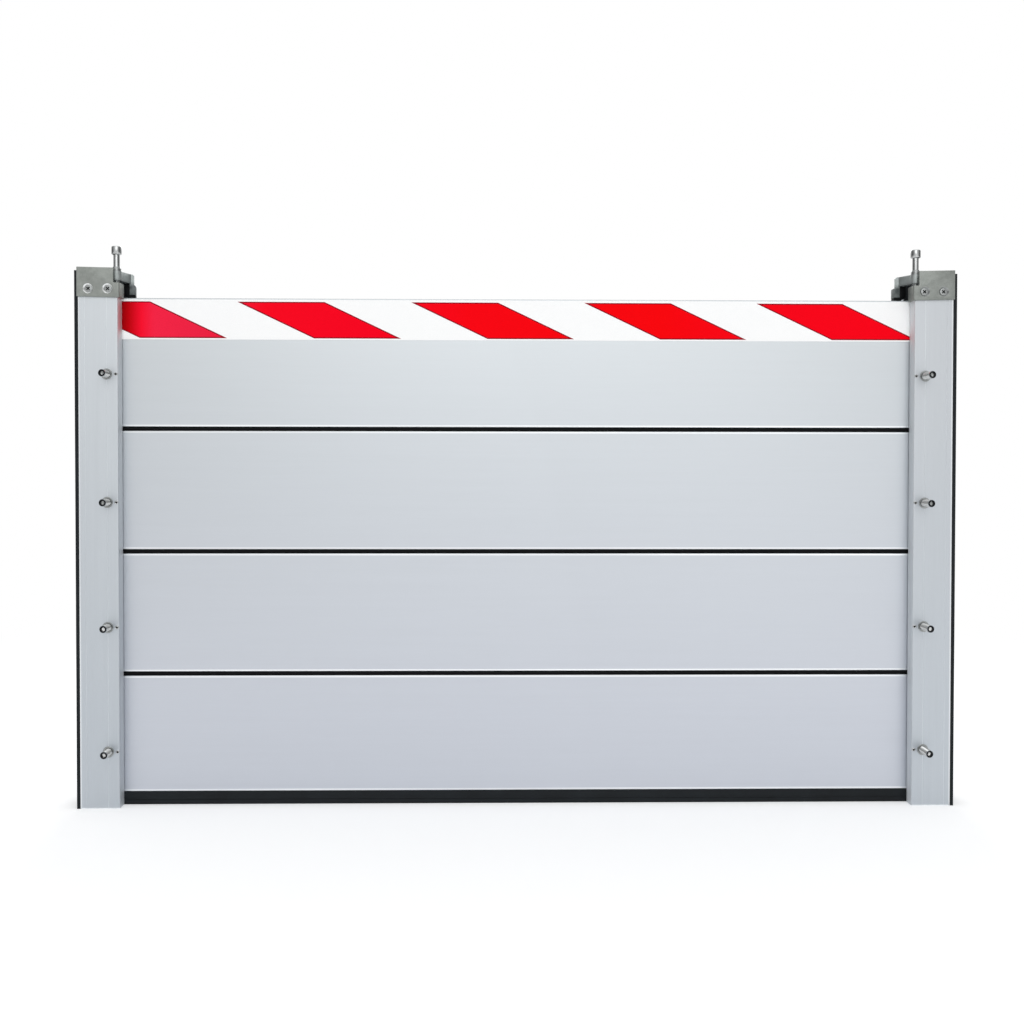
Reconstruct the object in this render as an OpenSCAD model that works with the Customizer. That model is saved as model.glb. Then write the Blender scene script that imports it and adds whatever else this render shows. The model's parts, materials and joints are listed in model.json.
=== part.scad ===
// Demountable flood barrier: one bay of four hollow aluminium planks, stacked on edge between two
// side channels that are bolted to the walls of a doorway.
// X runs along the bay from the left wall, Y from the dry side in front to the wet side, Z up from the sill.
// The origin is on the left wall, at the foot of the wall seal and at the middle of the channel's depth.

/* [Bay] */
// Clear width between the two side channels
clear_w = 1286; // [400:1:3000]
// Rise of the side channels above the top plank
channel_rise = 40.5; // [38:0.5:80]

/* [Side channel] */
// Width of a channel's front face, from wall seal to lip
channel_w = 64; // [60:1:90]
// Thickness of the channel's web, against the wall
web_t = 5; // [4:0.5:8]
// Depth of the hollow flange in front of the planks
front_flange_d = 24; // [22:1:32]
// Depth of the hollow flange behind the planks
rear_flange_d = 15; // [14:1:24]
// Width of that flange, from the wall side to its tip
rear_flange_w = 60; // [59:1:65]
// Wall thickness of the hollow flanges
flange_wall = 3; // [2.5:0.1:4]
// Running gap between the front flange and the planks
plank_front_gap = 1.5; // [1.5:0.1:3]
// Height that the slot seal stands out of the rear flange
slot_seal_h = 4.5; // [3:0.5:8]
// Radius of the channel's outer corners
channel_corner_r = 1.5; // [0.5:0.1:2.5]
// Thickness of the rubber between channel and wall
wall_seal_t = 5; // [3:0.5:10]
// Inset of the shallow sight groove from the wall side
sight_groove_x = 11; // [8:0.5:20]
// Depth of the V grooves down the front face
groove_depth = 0.3; // [0.3:0.1:0.8]

/* [Wall anchors] */
// Diameter of the anchor holes in the web
anchor_hole_d = 11; // [9:0.5:14]
// Diameter of the holes through the wall seal
anchor_seal_hole_d = 14; // [12:0.5:18]
// Distance of the first and last anchor holes from the channel's ends
anchor_end = 88.5; // [60:0.5:150]
// Number of anchor holes in each channel
anchor_count = 4; // [2:1:5]

/* [Planks] */
// Thickness of a plank, front to back
plank_t = 40; // [36:1:60]
// Height of a plank's face, without its tongue
plank_h = 193; // [150:1:193]
// Height of the top plank's face
top_plank_h = 208.5; // [150:0.5:209]
// Length of plank end that stands in each channel
plank_engage = 45; // [35:1:50]
// Wall thickness of the planks
plank_wall = 2.6; // [2:0.1:3]
// Width of the edge chamfer along a plank's corners
plank_chamfer = 0.8; // [0.4:0.1:1.2]
// Width of the tongue on a plank's top
tongue_w = 14; // [12:1:18]
// Height of the tongue above the shoulders
tongue_h = 16; // [12:1:20]
// Side clearance of the tongue in the groove above it
tongue_gap = 1.5; // [0.5:0.1:2]

/* [Seals] */
// Height of the rubber seam between two planks
seam_h = 7; // [5:0.5:10]
// Width of each rubber strip in a seam
strip_w = 9; // [8:0.5:10]
// Height of the bottom seal under the lowest plank
bottom_seal_h = 18; // [10:1:25]
// Height of the bottom seal's lip up the front of the lowest plank
bottom_lip_h = 4; // [2:0.5:8]
// Thickness of that lip
bottom_lip_t = 1.2; // [0.8:0.1:1.2]
// Width of the seal on the rear flange
slot_seal_w = 24; // [16:1:24]
// Width of the slot that holds a rubber foot, at its mouth
foot_neck_w = 4; // [3:0.5:4.5]
// Width of that slot behind its mouth
foot_w = 7; // [6:0.5:8]
// Depth of the slot's mouth
foot_neck_h = 1.5; // [1:0.1:2]
// Depth of the slot behind its mouth
foot_h = 3; // [2:0.5:4]
// Play of a rubber foot in its slot
foot_play = 0.1; // [0.1:0.05:0.3]

/* [Hazard tape] */
// Height of the white reflective film
tape_h = 65; // [40:0.5:100]
// Bare edge above the tape
tape_top_margin = 2; // [1:0.5:20]
// White border above the red stripes
tape_border_top = 3.5; // [1:0.1:10]
// White border below the red stripes
tape_border_bottom = 2.3; // [1:0.1:10]
// Thickness of the white film
tape_t = 0.35; // [0.2:0.05:0.6]
// Thickness of the red film on it
stripe_t = 0.15; // [0.1:0.05:0.3]
// Distance from one red stripe to the next
stripe_pitch = 282.5; // [150:0.5:400]
// Width of a red stripe along the tape
stripe_w = 141.5; // [60:0.5:200]
// Run of a stripe to the side over its height
stripe_slant = 124.5; // [60:0.5:200]
// Offset of the middle red stripe's upper corner from the bay's middle
stripe_offset = -174.5; // [-200:0.5:200]
// Length of tape that runs into each channel
tape_tuck = 22; // [5:1:35]

/* [Jack screws] */
// Diameter of the M12 screws that press the planks on the rear seal
jack_d = 12; // [10:1:14]
// Length of screw that stands out of the left channel
left_jack_out = 25; // [20:1:45]
// Length of screw that stands out of the right channel
right_jack_out = 33; // [20:1:45]
// Distance of the screw line from the wall side of the channel
jack_x = 46; // [44:1:48]
// Height of each screw above the lower edge of the plank that it presses
jack_rise = [74, 75.5, 77, 83];
// Radial clearance of the screw in the flange's rear wall
jack_clearance = 0.5; // [0.3:0.1:1]
// Diameter of the threaded insert's body
insert_d = 14.5; // [14.5:0.5:16]
// Diameter of the threaded insert's flange
insert_flange_d = 18; // [17:0.5:20]
// Thickness of the threaded insert's flange
insert_flange_t = 1.2; // [0.8:0.1:2]
// Length of the threaded insert behind the front face
insert_len = 16; // [8:1:18]

/* [Hold-down clamp] */
// Thickness of the clamp bracket's plate
bracket_t = 4; // [3:0.5:5]
// Rise of the bracket's top corner above the channel
bracket_rise = 5; // [2:0.5:8]
// Height of the bracket's front plate
bracket_h = 47; // [42:1:50]
// Angle by which the front plate's edges fall towards the planks
bracket_fall = 2.5; // [0:0.5:3]
// Outer radius of the bend between front plate and return
bend_r = 3; // [1:0.5:3.5]
// Depth of the bracket's return along the lip
return_d = 21; // [15:1:21]
// Distance of the clamp bolt from the wall side of the channel
bolt_x = 59; // [57.5:0.1:59]
// Distance of the clamp bolt behind the front face
bolt_y = 13; // [12.5:0.1:13.2]
// Thread diameter of the clamp bolt
bolt_d = 10; // [8:1:10]
// Height of the clamp bolt's top above the channel's top
bolt_rise = 40; // [36:1:50]
// Diameter of the collar on the bolt
collar_d = 14; // [13:0.5:17]
// Height of the collar on the bolt
collar_h = 7; // [4:0.5:9]
// Thickness of the claw's arm
claw_arm_t = 15; // [12:1:15]
// Width of the claw's arm at its hub
claw_arm_w = 13; // [10:1:14]
// Radius of the claw's hub
claw_hub_r = 8.5; // [8:0.1:8.7]
// Distance of the claw's foot from the channel's lip
claw_foot_gap = 12; // [3.5:0.1:14]
// Width of the claw's foot along the plank
claw_foot_w = 9.3; // [9:0.1:16]
// Depth of the claw's foot across the plank
claw_foot_d = 16; // [14:1:20]
// Depth of the knuckle in which the arm ends, above the foot
claw_knuckle_d = 8; // [6:0.5:12]
// Step from the knuckle's end to the foot's end
claw_step = 2.6; // [0:0.1:3]
// Thickness of the rubber pad under the claw
pad_t = 7; // [3:0.5:8]
// Thickness of the rubber on the foot's inner side, up to the arm
pad_side_t = 10; // [3:0.5:10]
// Height of the chamfer under that rubber
pad_side_rise = 7; // [2:0.5:8]
// Angle by which the left claw is turned in, towards the wet side
left_claw_turn = 10; // [0:1:15]
// Angle by which the right claw is turned in, towards the wet side
right_claw_turn = 0; // [0:1:15]

/* [Hidden] */
$fn = 48;

// Number of planks in the stack, each a piece of its own
plank_count = 4;
// Overlap of a cutting tool past the face that it opens
cut = 1;
// Sink of one shape into the next, so that the two fuse
sink = 0.01;
// Clearance between fixed pieces that stand one in the other
fit = 0.2;
// Radial running clearance of a thread or a swivel
running = 0.05;
// Gap between a moving piece and the seat that it presses on
seat = 0.3;

// Whole bay
overall_w = clear_w + 2 * (channel_w + wall_seal_t);
slot_w = plank_front_gap + plank_t + slot_seal_h;
slot_y = front_flange_d;
channel_d = slot_y + slot_w + rear_flange_d;
plank_y = slot_y + plank_front_gap;
plank_len = clear_w + 2 * plank_engage;
plank_x = wall_seal_t + channel_w - plank_engage;
plank_pitch = plank_h + seam_h;
stack_top = plank_z(plank_count) + top_plank_h;
channel_h = stack_top + channel_rise;
anchor_pitch = (channel_h - 2 * anchor_end) / (anchor_count - 1);
jack_z = [for (i = [1 : plank_count]) plank_z(i) + jack_rise[i - 1]];

// Plank section
groove_w = tongue_w + 2 * tongue_gap;
groove_h = tongue_h - seam_h + tongue_gap;
ledge_w = (plank_t - groove_w) / 2;
tongue_chamfer = 2.5;
rib_count = 2;

// Slots for rubber feet, and the ribs of the channel
foot_depth = foot_neck_h + foot_h;
chamber_rib_x = 25;
slot_seal_x = jack_x;

// Bracket and its screws: M8 countersunk
bracket_top = channel_h + bracket_rise;
bracket_bottom = bracket_top - bracket_h;
screw_d = 8;
screw_head_d = 15.8;
screw_x = [17.9, 49];
screw_rise = 12.5;
screw_z = bracket_bottom + screw_rise;
screw_tip_y = flange_wall + 1;
recess_w = 1.7;
recess_len = 7;
recess_depth = 2.4;

// Bracket's plate and the boss in which the clamp bolt turns
plate_w = channel_w + bracket_t;
plate_notch_x = bolt_x - 1;
plate_notch_r = 2;
boss_wall = 2.9;
boss_h = 16;
boss_x = bolt_x - bolt_d / 2 - boss_wall;
boss_y0 = screw_tip_y + 1;
boss_y1 = front_flange_d - flange_wall - fit;

// Claw: its arm passes over the front flange, which ends lower than the channel's web
claw_play = 5;
arm_top = channel_h;
arm_bottom = arm_top - claw_arm_t;
flange_top = arm_bottom - claw_play;
boss_bottom = flange_top - boss_h;
foot_x = channel_w + claw_foot_gap;
foot_y = plank_y + (plank_t - claw_foot_d) / 2;
foot_bottom = stack_top + seat + pad_t;
foot_top = arm_bottom - 2;
foot_round = 3;

// Clamp bolt, M10
bolt_head_d = 16;
bolt_head_h = 13.5;
bolt_chamfer = 1;
bolt_neck_h = 1.5;
bolt_socket = 8;
bolt_socket_depth = 6;
bolt_tip_z = boss_bottom + 2;
collar_wall = 0.8;
bolt_top = channel_h + bolt_rise;

// Jack screw
jack_socket = 6;
jack_socket_depth = 7;
jack_tip_y = plank_y - seat;
jack_chamfer = 1;

// Places a left-hand piece, drawn from the channel's wall side and front face
module left_side() {
    translate([wall_seal_t, -channel_d / 2, 0])
        children();
}

// Mirrors a left-hand piece to the right-hand channel
module right_side() {
    translate([overall_w, 0, 0])
        mirror([1, 0, 0])
            left_side()
                children();
}

// A rectangle from the origin with round corners
module rounded_rect(w, d, r) {
    translate([r, 0])
        square([w - 2 * r, d]);
    translate([0, r])
        square([w, d - 2 * r]);
    for (x = [r, w - r], y = [r, d - r])
        translate([x, y])
            circle(r);
}

// A rectangle from the origin with cut corners
module chamfered_rect(w, h, c) {
    polygon([[c, 0], [w - c, 0], [w, c], [w, h - c], [w - c, h], [c, h], [0, h - c], [0, c]]);
}

// The T slot that holds a rubber foot: its mouth on y = 0, its depth along +y
module foot_slot() {
    translate([-foot_neck_w / 2, -cut])
        square([foot_neck_w, foot_neck_h + cut + sink]);
    translate([-foot_w / 2, foot_neck_h])
        square([foot_w, foot_h]);
}

// The rubber foot that fits the slot, joined to a seal below y = 0
module rubber_foot() {
    translate([-foot_neck_w / 2 + foot_play, -cut])
        square([foot_neck_w - 2 * foot_play, foot_neck_h + cut + foot_play + sink]);
    translate([-foot_w / 2 + foot_play, foot_neck_h + foot_play])
        square([foot_w - 2 * foot_play, foot_h - 2 * foot_play]);
}

// A V groove along the channel's front face, as seen from above
module sight_groove(x) {
    translate([x, 0])
        polygon([[-groove_depth, -sink], [groove_depth, -sink], [0, groove_depth]]);
}

// Section of the side channel, seen from above: web at the wall, hollow flanges before and behind
module channel_section() {
    inner_d = front_flange_d - 2 * flange_wall;
    rear_y = slot_y + slot_w;
    rear_inner_d = rear_flange_d - 2 * flange_wall;
    slot_wall_x = slot_seal_x - foot_w / 2 - flange_wall;
    tip_x = slot_seal_x + foot_w / 2 + flange_wall;
    difference() {
        union() {
            rounded_rect(rear_flange_w, channel_d, channel_corner_r);
            rounded_rect(channel_w, front_flange_d, channel_corner_r);
        }
        translate([web_t, slot_y])
            square([channel_w, slot_w]);
        translate([web_t, flange_wall])
            square([chamber_rib_x - web_t, inner_d]);
        translate([chamber_rib_x + flange_wall, flange_wall])
            square([channel_w - chamber_rib_x - 2 * flange_wall, inner_d]);
        translate([web_t, rear_y + flange_wall])
            square([slot_wall_x - web_t, rear_inner_d]);
        translate([tip_x, rear_y + flange_wall])
            square([rear_flange_w - flange_wall - tip_x, rear_inner_d]);
        translate([slot_seal_x, rear_y])
            foot_slot();
        sight_groove(sight_groove_x);
        sight_groove(jack_x);
    }
}

// Side channel with its anchor holes and screw bores, its front flange cut down for the claw and the boss
module channel() {
    difference() {
        linear_extrude(channel_h)
            channel_section();
        for (i = [0 : anchor_count - 1])
            translate([-cut, channel_d / 2, anchor_end + i * anchor_pitch])
                rotate([0, 90, 0])
                    cylinder(d = anchor_hole_d, h = web_t + 2 * cut);
        for (z = jack_z) {
            translate([jack_x, -cut, z])
                rotate([-90, 0, 0])
                    cylinder(d = insert_d + 2 * running, h = flange_wall + 2 * cut);
            translate([jack_x, front_flange_d - flange_wall - cut, z])
                rotate([-90, 0, 0])
                    cylinder(d = jack_d + 2 * jack_clearance, h = flange_wall + 2 * cut);
        }
        for (x = screw_x)
            translate([x, -cut, screw_z])
                rotate([-90, 0, 0])
                    cylinder(d = screw_d + 2 * running, h = flange_wall + 2 * cut);
        translate([web_t, -cut, flange_top])
            cube([channel_w, front_flange_d + 2 * cut, channel_h]);
        translate([boss_x - fit, boss_y0 - fit, boss_bottom - fit])
            cube([channel_w, boss_y1 - boss_y0 + 2 * fit, channel_h]);
    }
}

// Rubber sheet between the channel and the wall
module wall_seal() {
    translate([-wall_seal_t, 0, 0])
        difference() {
            cube([wall_seal_t, channel_d, channel_h]);
            for (i = [0 : anchor_count - 1])
                translate([-cut, channel_d / 2, anchor_end + i * anchor_pitch])
                    rotate([0, 90, 0])
                        cylinder(d = anchor_seal_hole_d, h = wall_seal_t + 2 * cut);
        }
}

// Rubber seal in the rear flange, on which the jack screws press the planks
module slot_seal() {
    bead_r = slot_seal_h;
    translate([slot_seal_x, slot_y + slot_w, 0])
        linear_extrude(channel_h)
            union() {
                rubber_foot();
                intersection() {
                    translate([-slot_seal_w / 2, -slot_seal_h + seat])
                        square([slot_seal_w, slot_seal_h - seat]);
                    union() {
                        for (x = [-1, 1] * (slot_seal_w / 2 - bead_r))
                            translate([x, 0])
                                circle(bead_r);
                        translate([-slot_seal_w / 2 + bead_r, -slot_seal_h])
                            square([slot_seal_w - 2 * bead_r, slot_seal_h]);
                    }
                }
            }
}

// Section of a plank, seen from its end: front face on x = 0, lower edge on y = 0
module plank_section(face_h, has_tongue) {
    leg_w = ledge_w - 2 * plank_wall;
    groove_top = groove_h + plank_wall;
    leg_y = foot_depth + plank_wall;
    chamber_h = face_h - plank_wall - groove_top;
    rib_gap = (chamber_h - rib_count * plank_wall) / (rib_count + 1);
    mid = plank_t / 2;
    difference() {
        union() {
            chamfered_rect(plank_t, face_h, plank_chamfer);
            if (has_tongue)
                translate([mid, face_h])
                    tongue_outline(tongue_w, tongue_h, tongue_chamfer);
        }
        translate([mid - groove_w / 2, -cut])
            square([groove_w, groove_h + cut]);
        for (x = [ledge_w / 2, plank_t - ledge_w / 2])
            translate([x, 0])
                foot_slot();
        for (x = [plank_wall, plank_t - plank_wall - leg_w])
            translate([x, leg_y])
                square([leg_w, groove_top - leg_y + sink]);
        for (i = [0 : rib_count])
            translate([plank_wall, groove_top + i * (rib_gap + plank_wall)])
                square([plank_t - 2 * plank_wall, rib_gap]);
        if (has_tongue)
            translate([mid, face_h - plank_wall])
                tongue_outline(tongue_w - 2 * plank_wall, tongue_h, tongue_chamfer / 2);
    }
}

// The tongue standing on y = 0, with its top corners cut to lead it into the groove
module tongue_outline(w, h, c) {
    translate([-w / 2, 0])
        polygon([[0, -sink], [w, -sink], [w, h - c], [w - c, h], [c, h], [0, h - c]]);
}

// Turns a section drawn as depth and height into a bar along the bay
module along_bay(length) {
    rotate([90, 0, 90])
        linear_extrude(length)
            children();
}

// Lower edge of plank number i, counted from 1 at the sill
function plank_z(i) = bottom_seal_h + (i - 1) * plank_pitch;

// Plank number i in its place; the top one closes the stack with a flat top
module plank(i) {
    is_top = i == plank_count;
    translate([plank_x, plank_y - channel_d / 2, plank_z(i)])
        along_bay(plank_len)
            plank_section(is_top ? top_plank_h : plank_h, !is_top);
}

// The two rubber strips under plank i + 1, before and behind the tongue of plank i
module plank_seal(i) {
    translate([plank_x, plank_y - channel_d / 2, plank_z(i + 1)])
        along_bay(plank_len)
            for (x = [ledge_w / 2, plank_t - ledge_w / 2])
                translate([x, 0])
                    strip_section();
}

// One strip: a bead with bulging sides, flat where the two planks press on it
module strip_section() {
    strip_round = 1.2;
    rubber_foot();
    intersection() {
        translate([-strip_w / 2, -seam_h])
            square([strip_w, seam_h]);
        union() {
            for (x = [-1, 1] * (strip_w - seam_h) / 2)
                translate([x, -seam_h / 2])
                    circle(seam_h / 2);
            translate([-strip_w / 2 + strip_round, -seam_h])
                square([strip_w - 2 * strip_round, seam_h]);
        }
    }
}

// Thick rubber under the lowest plank: ridge in its groove, feet in its slots, a lip up its front
module bottom_seal() {
    ridge_play = 1;
    ridge_w = groove_w - 2 * ridge_play;
    ridge_h = groove_h - 2 * ridge_play;
    body_r = 2;
    crease_z = 8;
    crease = 0.8;
    translate([plank_x, plank_y - channel_d / 2, 0])
        along_bay(plank_len)
            difference() {
                union() {
                    translate([-bottom_lip_t, 0])
                        rounded_rect(plank_t + bottom_lip_t, bottom_seal_h, body_r);
                    translate([plank_t - body_r, bottom_seal_h - body_r])
                        square(body_r);
                    translate([-bottom_lip_t, body_r])
                        square([bottom_lip_t, bottom_seal_h + bottom_lip_h - body_r]);
                    translate([plank_t / 2 - ridge_w / 2, body_r])
                        square([ridge_w, bottom_seal_h + ridge_h - body_r]);
                    for (x = [ledge_w / 2, plank_t - ledge_w / 2])
                        translate([x, bottom_seal_h])
                            rubber_foot();
                }
                translate([-bottom_lip_t, crease_z])
                    rotate(45)
                        square(crease, center = true);
            }
}

// Ends and lower edge of the tape in the bay's own frame
tape_x0 = wall_seal_t + channel_w - tape_tuck;
tape_len = clear_w + 2 * tape_tuck;
tape_z0 = stack_top - tape_top_margin - tape_h;

// White film along the front of the top plank
module hazard_tape() {
    translate([tape_x0, plank_y - channel_d / 2 - tape_t, tape_z0])
        cube([tape_len, tape_t, tape_h]);
}

// Red slanting stripes on the white film, cut off at its ends
module hazard_stripes() {
    band_h = tape_h - tape_border_top - tape_border_bottom;
    first = -ceil(tape_len / 2 / stripe_pitch) - 1;
    translate([0, plank_y - channel_d / 2 - tape_t, tape_z0 + tape_border_bottom])
        rotate([90, 0, 0])
            linear_extrude(stripe_t)
                intersection() {
                    translate([tape_x0, 0])
                        square([tape_len, band_h]);
                    translate([overall_w / 2 + stripe_offset, 0])
                        for (i = [first : -first])
                            translate([i * stripe_pitch, 0])
                                polygon([[0, band_h], [stripe_w, band_h],
                                         [stripe_w + stripe_slant, 0], [stripe_slant, 0]]);
                }
}

// Flanged threaded insert of one jack screw, riveted into the front wall of the channel
module insert_at(z) {
    translate([jack_x, 0, z])
        rotate([-90, 0, 0])
            difference() {
                union() {
                    translate([0, 0, -insert_flange_t])
                        cylinder(d = insert_flange_d, h = insert_flange_t);
                    cylinder(d = insert_d, h = insert_len);
                }
                translate([0, 0, -insert_flange_t - cut])
                    cylinder(d = jack_d + 2 * running, h = insert_flange_t + insert_len + 2 * cut);
            }
}

// The four inserts of one channel
module inserts() {
    for (z = jack_z)
        insert_at(z);
}

// Jack screw: socket set screw that reaches through the front flange to the plank
module jack_screw(z, out) {
    jack_len = out + jack_tip_y;
    translate([jack_x, -out, z])
        rotate([-90, 0, 0])
            difference() {
                union() {
                    cylinder(r1 = jack_d / 2 - jack_chamfer, r2 = jack_d / 2, h = jack_chamfer);
                    translate([0, 0, jack_chamfer])
                        cylinder(d = jack_d, h = jack_len - 2 * jack_chamfer);
                    translate([0, 0, jack_len - jack_chamfer])
                        cylinder(r1 = jack_d / 2, r2 = jack_d / 2 - jack_chamfer, h = jack_chamfer);
                }
                translate([0, 0, -cut])
                    cylinder(d = jack_socket / cos(30), h = jack_socket_depth + cut, $fn = 6);
            }
}

// Front outline of the bracket: edges that fall towards the planks, corner notch for the claw
module plate_outline() {
    fall = plate_w * tan(bracket_fall) / 2;
    difference() {
        polygon([[0, bracket_bottom], [plate_w, bracket_bottom - fall],
                 [plate_w, bracket_top - fall], [0, bracket_top]]);
        translate([plate_notch_x, flange_top + plate_notch_r])
            square([plate_w, bracket_h]);
        translate([plate_notch_x + plate_notch_r, flange_top])
            square([plate_w, bracket_h]);
        translate([plate_notch_x + plate_notch_r, flange_top + plate_notch_r])
            circle(plate_notch_r);
    }
}

// Plan of the bracket: along the channel's front, round the bend and back along its lip
module bracket_plan() {
    difference() {
        union() {
            translate([0, -bracket_t])
                square([plate_w, bracket_t]);
            translate([channel_w, -bracket_t])
                square([bracket_t, return_d + bracket_t]);
        }
        translate([plate_w - bend_r, -bracket_t - cut])
            difference() {
                square(bend_r + cut);
                translate([0, bend_r + cut])
                    circle(bend_r);
            }
    }
}

// Clamp bracket: a plate bent round the channel's lip, with the threaded boss behind it
module bracket() {
    difference() {
        union() {
            intersection() {
                linear_extrude(bracket_top)
                    bracket_plan();
                translate([0, return_d + cut, 0])
                    rotate([90, 0, 0])
                        linear_extrude(return_d + bracket_t + 2 * cut)
                            plate_outline();
            }
            translate([boss_x, boss_y0, boss_bottom])
                cube([channel_w + bracket_t / 2 - boss_x, boss_y1 - boss_y0, boss_h]);
        }
        translate([bolt_x, bolt_y, boss_bottom - cut])
            cylinder(d = bolt_d + 2 * running, h = boss_h + 2 * cut);
        for (x = screw_x)
            translate([x, 0, screw_z])
                rotate([90, 0, 0]) {
                    translate([0, 0, -cut])
                        cylinder(d = screw_d + 2 * running, h = bracket_t + 2 * cut);
                    translate([0, 0, bracket_t - screw_head_h()])
                        cylinder(r1 = screw_d / 2 + running, r2 = screw_head_d / 2 + running,
                                 h = screw_head_h() + sink);
                }
    }
}

// Height of a 90 degree countersunk head
function screw_head_h() = (screw_head_d - screw_d) / 2;

// The two countersunk screws of one bracket, with cross recesses
module bracket_screws() {
    for (x = screw_x)
        translate([x, -bracket_t, screw_z])
            rotate([-90, 0, 0])
                difference() {
                    union() {
                        cylinder(r1 = screw_head_d / 2, r2 = screw_d / 2, h = screw_head_h());
                        translate([0, 0, screw_head_h()])
                            cylinder(d = screw_d, h = bracket_t + screw_tip_y - screw_head_h());
                    }
                    for (turn = [0, 90])
                        rotate(turn)
                            translate([-recess_len / 2, -recess_w / 2, -cut])
                                cube([recess_len, recess_w, recess_depth + cut]);
                }
}

// Clamp bolt: socket head cap screw, standing high above the claw
module clamp_bolt() {
    head_z = bolt_top - bolt_tip_z - bolt_head_h;
    translate([bolt_x, bolt_y, bolt_tip_z])
        difference() {
            union() {
                cylinder(d = bolt_d, h = head_z + sink);
                translate([0, 0, head_z])
                    cylinder(r1 = bolt_d / 2, r2 = bolt_head_d / 2, h = bolt_neck_h);
                translate([0, 0, head_z + bolt_neck_h])
                    cylinder(d = bolt_head_d, h = bolt_head_h - bolt_neck_h - bolt_chamfer);
                translate([0, 0, head_z + bolt_head_h - bolt_chamfer])
                    cylinder(r1 = bolt_head_d / 2, r2 = bolt_head_d / 2 - bolt_chamfer, h = bolt_chamfer);
            }
            translate([0, 0, head_z + bolt_head_h - bolt_socket_depth])
                cylinder(d = bolt_socket / cos(30), h = bolt_socket_depth + cut, $fn = 6);
        }
}

// Collar pinned on the bolt, which bears on the claw's hub
module clamp_collar() {
    collar_taper = 3;
    translate([bolt_x, bolt_y, arm_top + seat])
        difference() {
            union() {
                cylinder(d = collar_d, h = collar_h - collar_taper);
                translate([0, 0, collar_h - collar_taper])
                    cylinder(r1 = collar_d / 2, r2 = bolt_d / 2 + collar_wall, h = collar_taper);
            }
            translate([0, 0, -cut])
                cylinder(d = bolt_d + 2 * running, h = collar_h + 2 * cut);
        }
}

// Claw: hub on the bolt, arm over the channel's lip to a knuckle, and the foot on the top plank
module claw() {
    difference() {
        union() {
            translate([bolt_x, bolt_y, arm_bottom])
                cylinder(r = claw_hub_r, h = claw_arm_t);
            translate([0, 0, arm_bottom])
                linear_extrude(claw_arm_t)
                    arm_outline();
            claw_block(claw_foot_w - claw_step, claw_knuckle_d, arm_top);
            claw_block(claw_foot_w, claw_foot_d, foot_top);
        }
        translate([bolt_x, bolt_y, arm_bottom - cut])
            cylinder(d = bolt_d + 2 * running, h = claw_arm_t + 2 * cut);
    }
}

// The arm from above: it tapers from the hub to the knuckle and ends inside it
module arm_outline() {
    bolt = [bolt_x, bolt_y];
    reach = [foot_x, foot_y] - bolt;
    side = [reach.y, -reach.x] / norm(reach) * claw_arm_w / 2;
    inset = 1;
    polygon([bolt + side,
             [foot_x + claw_foot_w - claw_step - foot_round - inset, foot_y + inset],
             [foot_x + inset, foot_y + claw_knuckle_d - inset],
             bolt - side]);
}

// A block of the claw that stands on its pad, rounded at the top away from the channel
module claw_block(width, depth, top) {
    block_h = top - foot_bottom;
    translate([foot_x, foot_y + depth, foot_bottom])
        rotate([90, 0, 0])
            linear_extrude(depth)
                union() {
                    square([width, block_h - foot_round]);
                    square([width - foot_round, block_h]);
                    translate([width - foot_round, block_h - foot_round])
                        circle(foot_round);
                }
}

// Rubber under the claw's foot and up its inner side, where it fills the corner below the arm
module claw_pad() {
    side_top = arm_bottom - stack_top - seat;
    translate([foot_x, foot_y + claw_foot_d, stack_top + seat])
        rotate([90, 0, 0])
            linear_extrude(claw_foot_d)
                polygon([[0, 0], [claw_foot_w, 0], [claw_foot_w, pad_t], [0, pad_t], [0, side_top],
                         [-pad_side_t, side_top], [-pad_side_t, pad_side_rise]]);
}

// Turns a left-hand claw about its bolt, towards the wet side
module turned_in(angle) {
    translate([bolt_x, bolt_y, 0])
        rotate(angle)
            translate([-bolt_x, -bolt_y, 0])
                children();
}

module left_channel() { color("gainsboro") left_side() channel(); }
module right_channel() { color("gainsboro") right_side() channel(); }
module left_wall_seal() { color("#1c1f22") left_side() wall_seal(); }
module right_wall_seal() { color("#1c1f22") right_side() wall_seal(); }
module left_slot_seal() { color("#1c1f22") left_side() slot_seal(); }
module right_slot_seal() { color("#1c1f22") right_side() slot_seal(); }
module plank_1() { color("lightgray") plank(1); }
module plank_2() { color("lightgray") plank(2); }
module plank_3() { color("lightgray") plank(3); }
module plank_4() { color("lightgray") plank(4); }
module plank_seal_1() { color("#1c1f22") plank_seal(1); }
module plank_seal_2() { color("#1c1f22") plank_seal(2); }
module plank_seal_3() { color("#1c1f22") plank_seal(3); }
module left_bracket() { color("darkgray") left_side() bracket(); }
module right_bracket() { color("darkgray") right_side() bracket(); }
module left_bracket_screws() { color("silver") left_side() bracket_screws(); }
module right_bracket_screws() { color("silver") right_side() bracket_screws(); }
module left_clamp_bolt() { color("silver") left_side() clamp_bolt(); }
module right_clamp_bolt() { color("silver") right_side() clamp_bolt(); }
module left_clamp_collar() { color("silver") left_side() clamp_collar(); }
module right_clamp_collar() { color("silver") right_side() clamp_collar(); }
module left_claw() { color("dimgray") left_side() turned_in(left_claw_turn) claw(); }
module right_claw() { color("dimgray") right_side() turned_in(right_claw_turn) claw(); }
module left_claw_pad() { color("#1c1f22") left_side() turned_in(left_claw_turn) claw_pad(); }
module right_claw_pad() { color("#1c1f22") right_side() turned_in(right_claw_turn) claw_pad(); }
module left_inserts() { color("silver") left_side() inserts(); }
module right_inserts() { color("silver") right_side() inserts(); }
module left_jack_screw(i) { color("silver") left_side() jack_screw(jack_z[i - 1], left_jack_out); }
module right_jack_screw(i) { color("silver") right_side() jack_screw(jack_z[i - 1], right_jack_out); }

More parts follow.
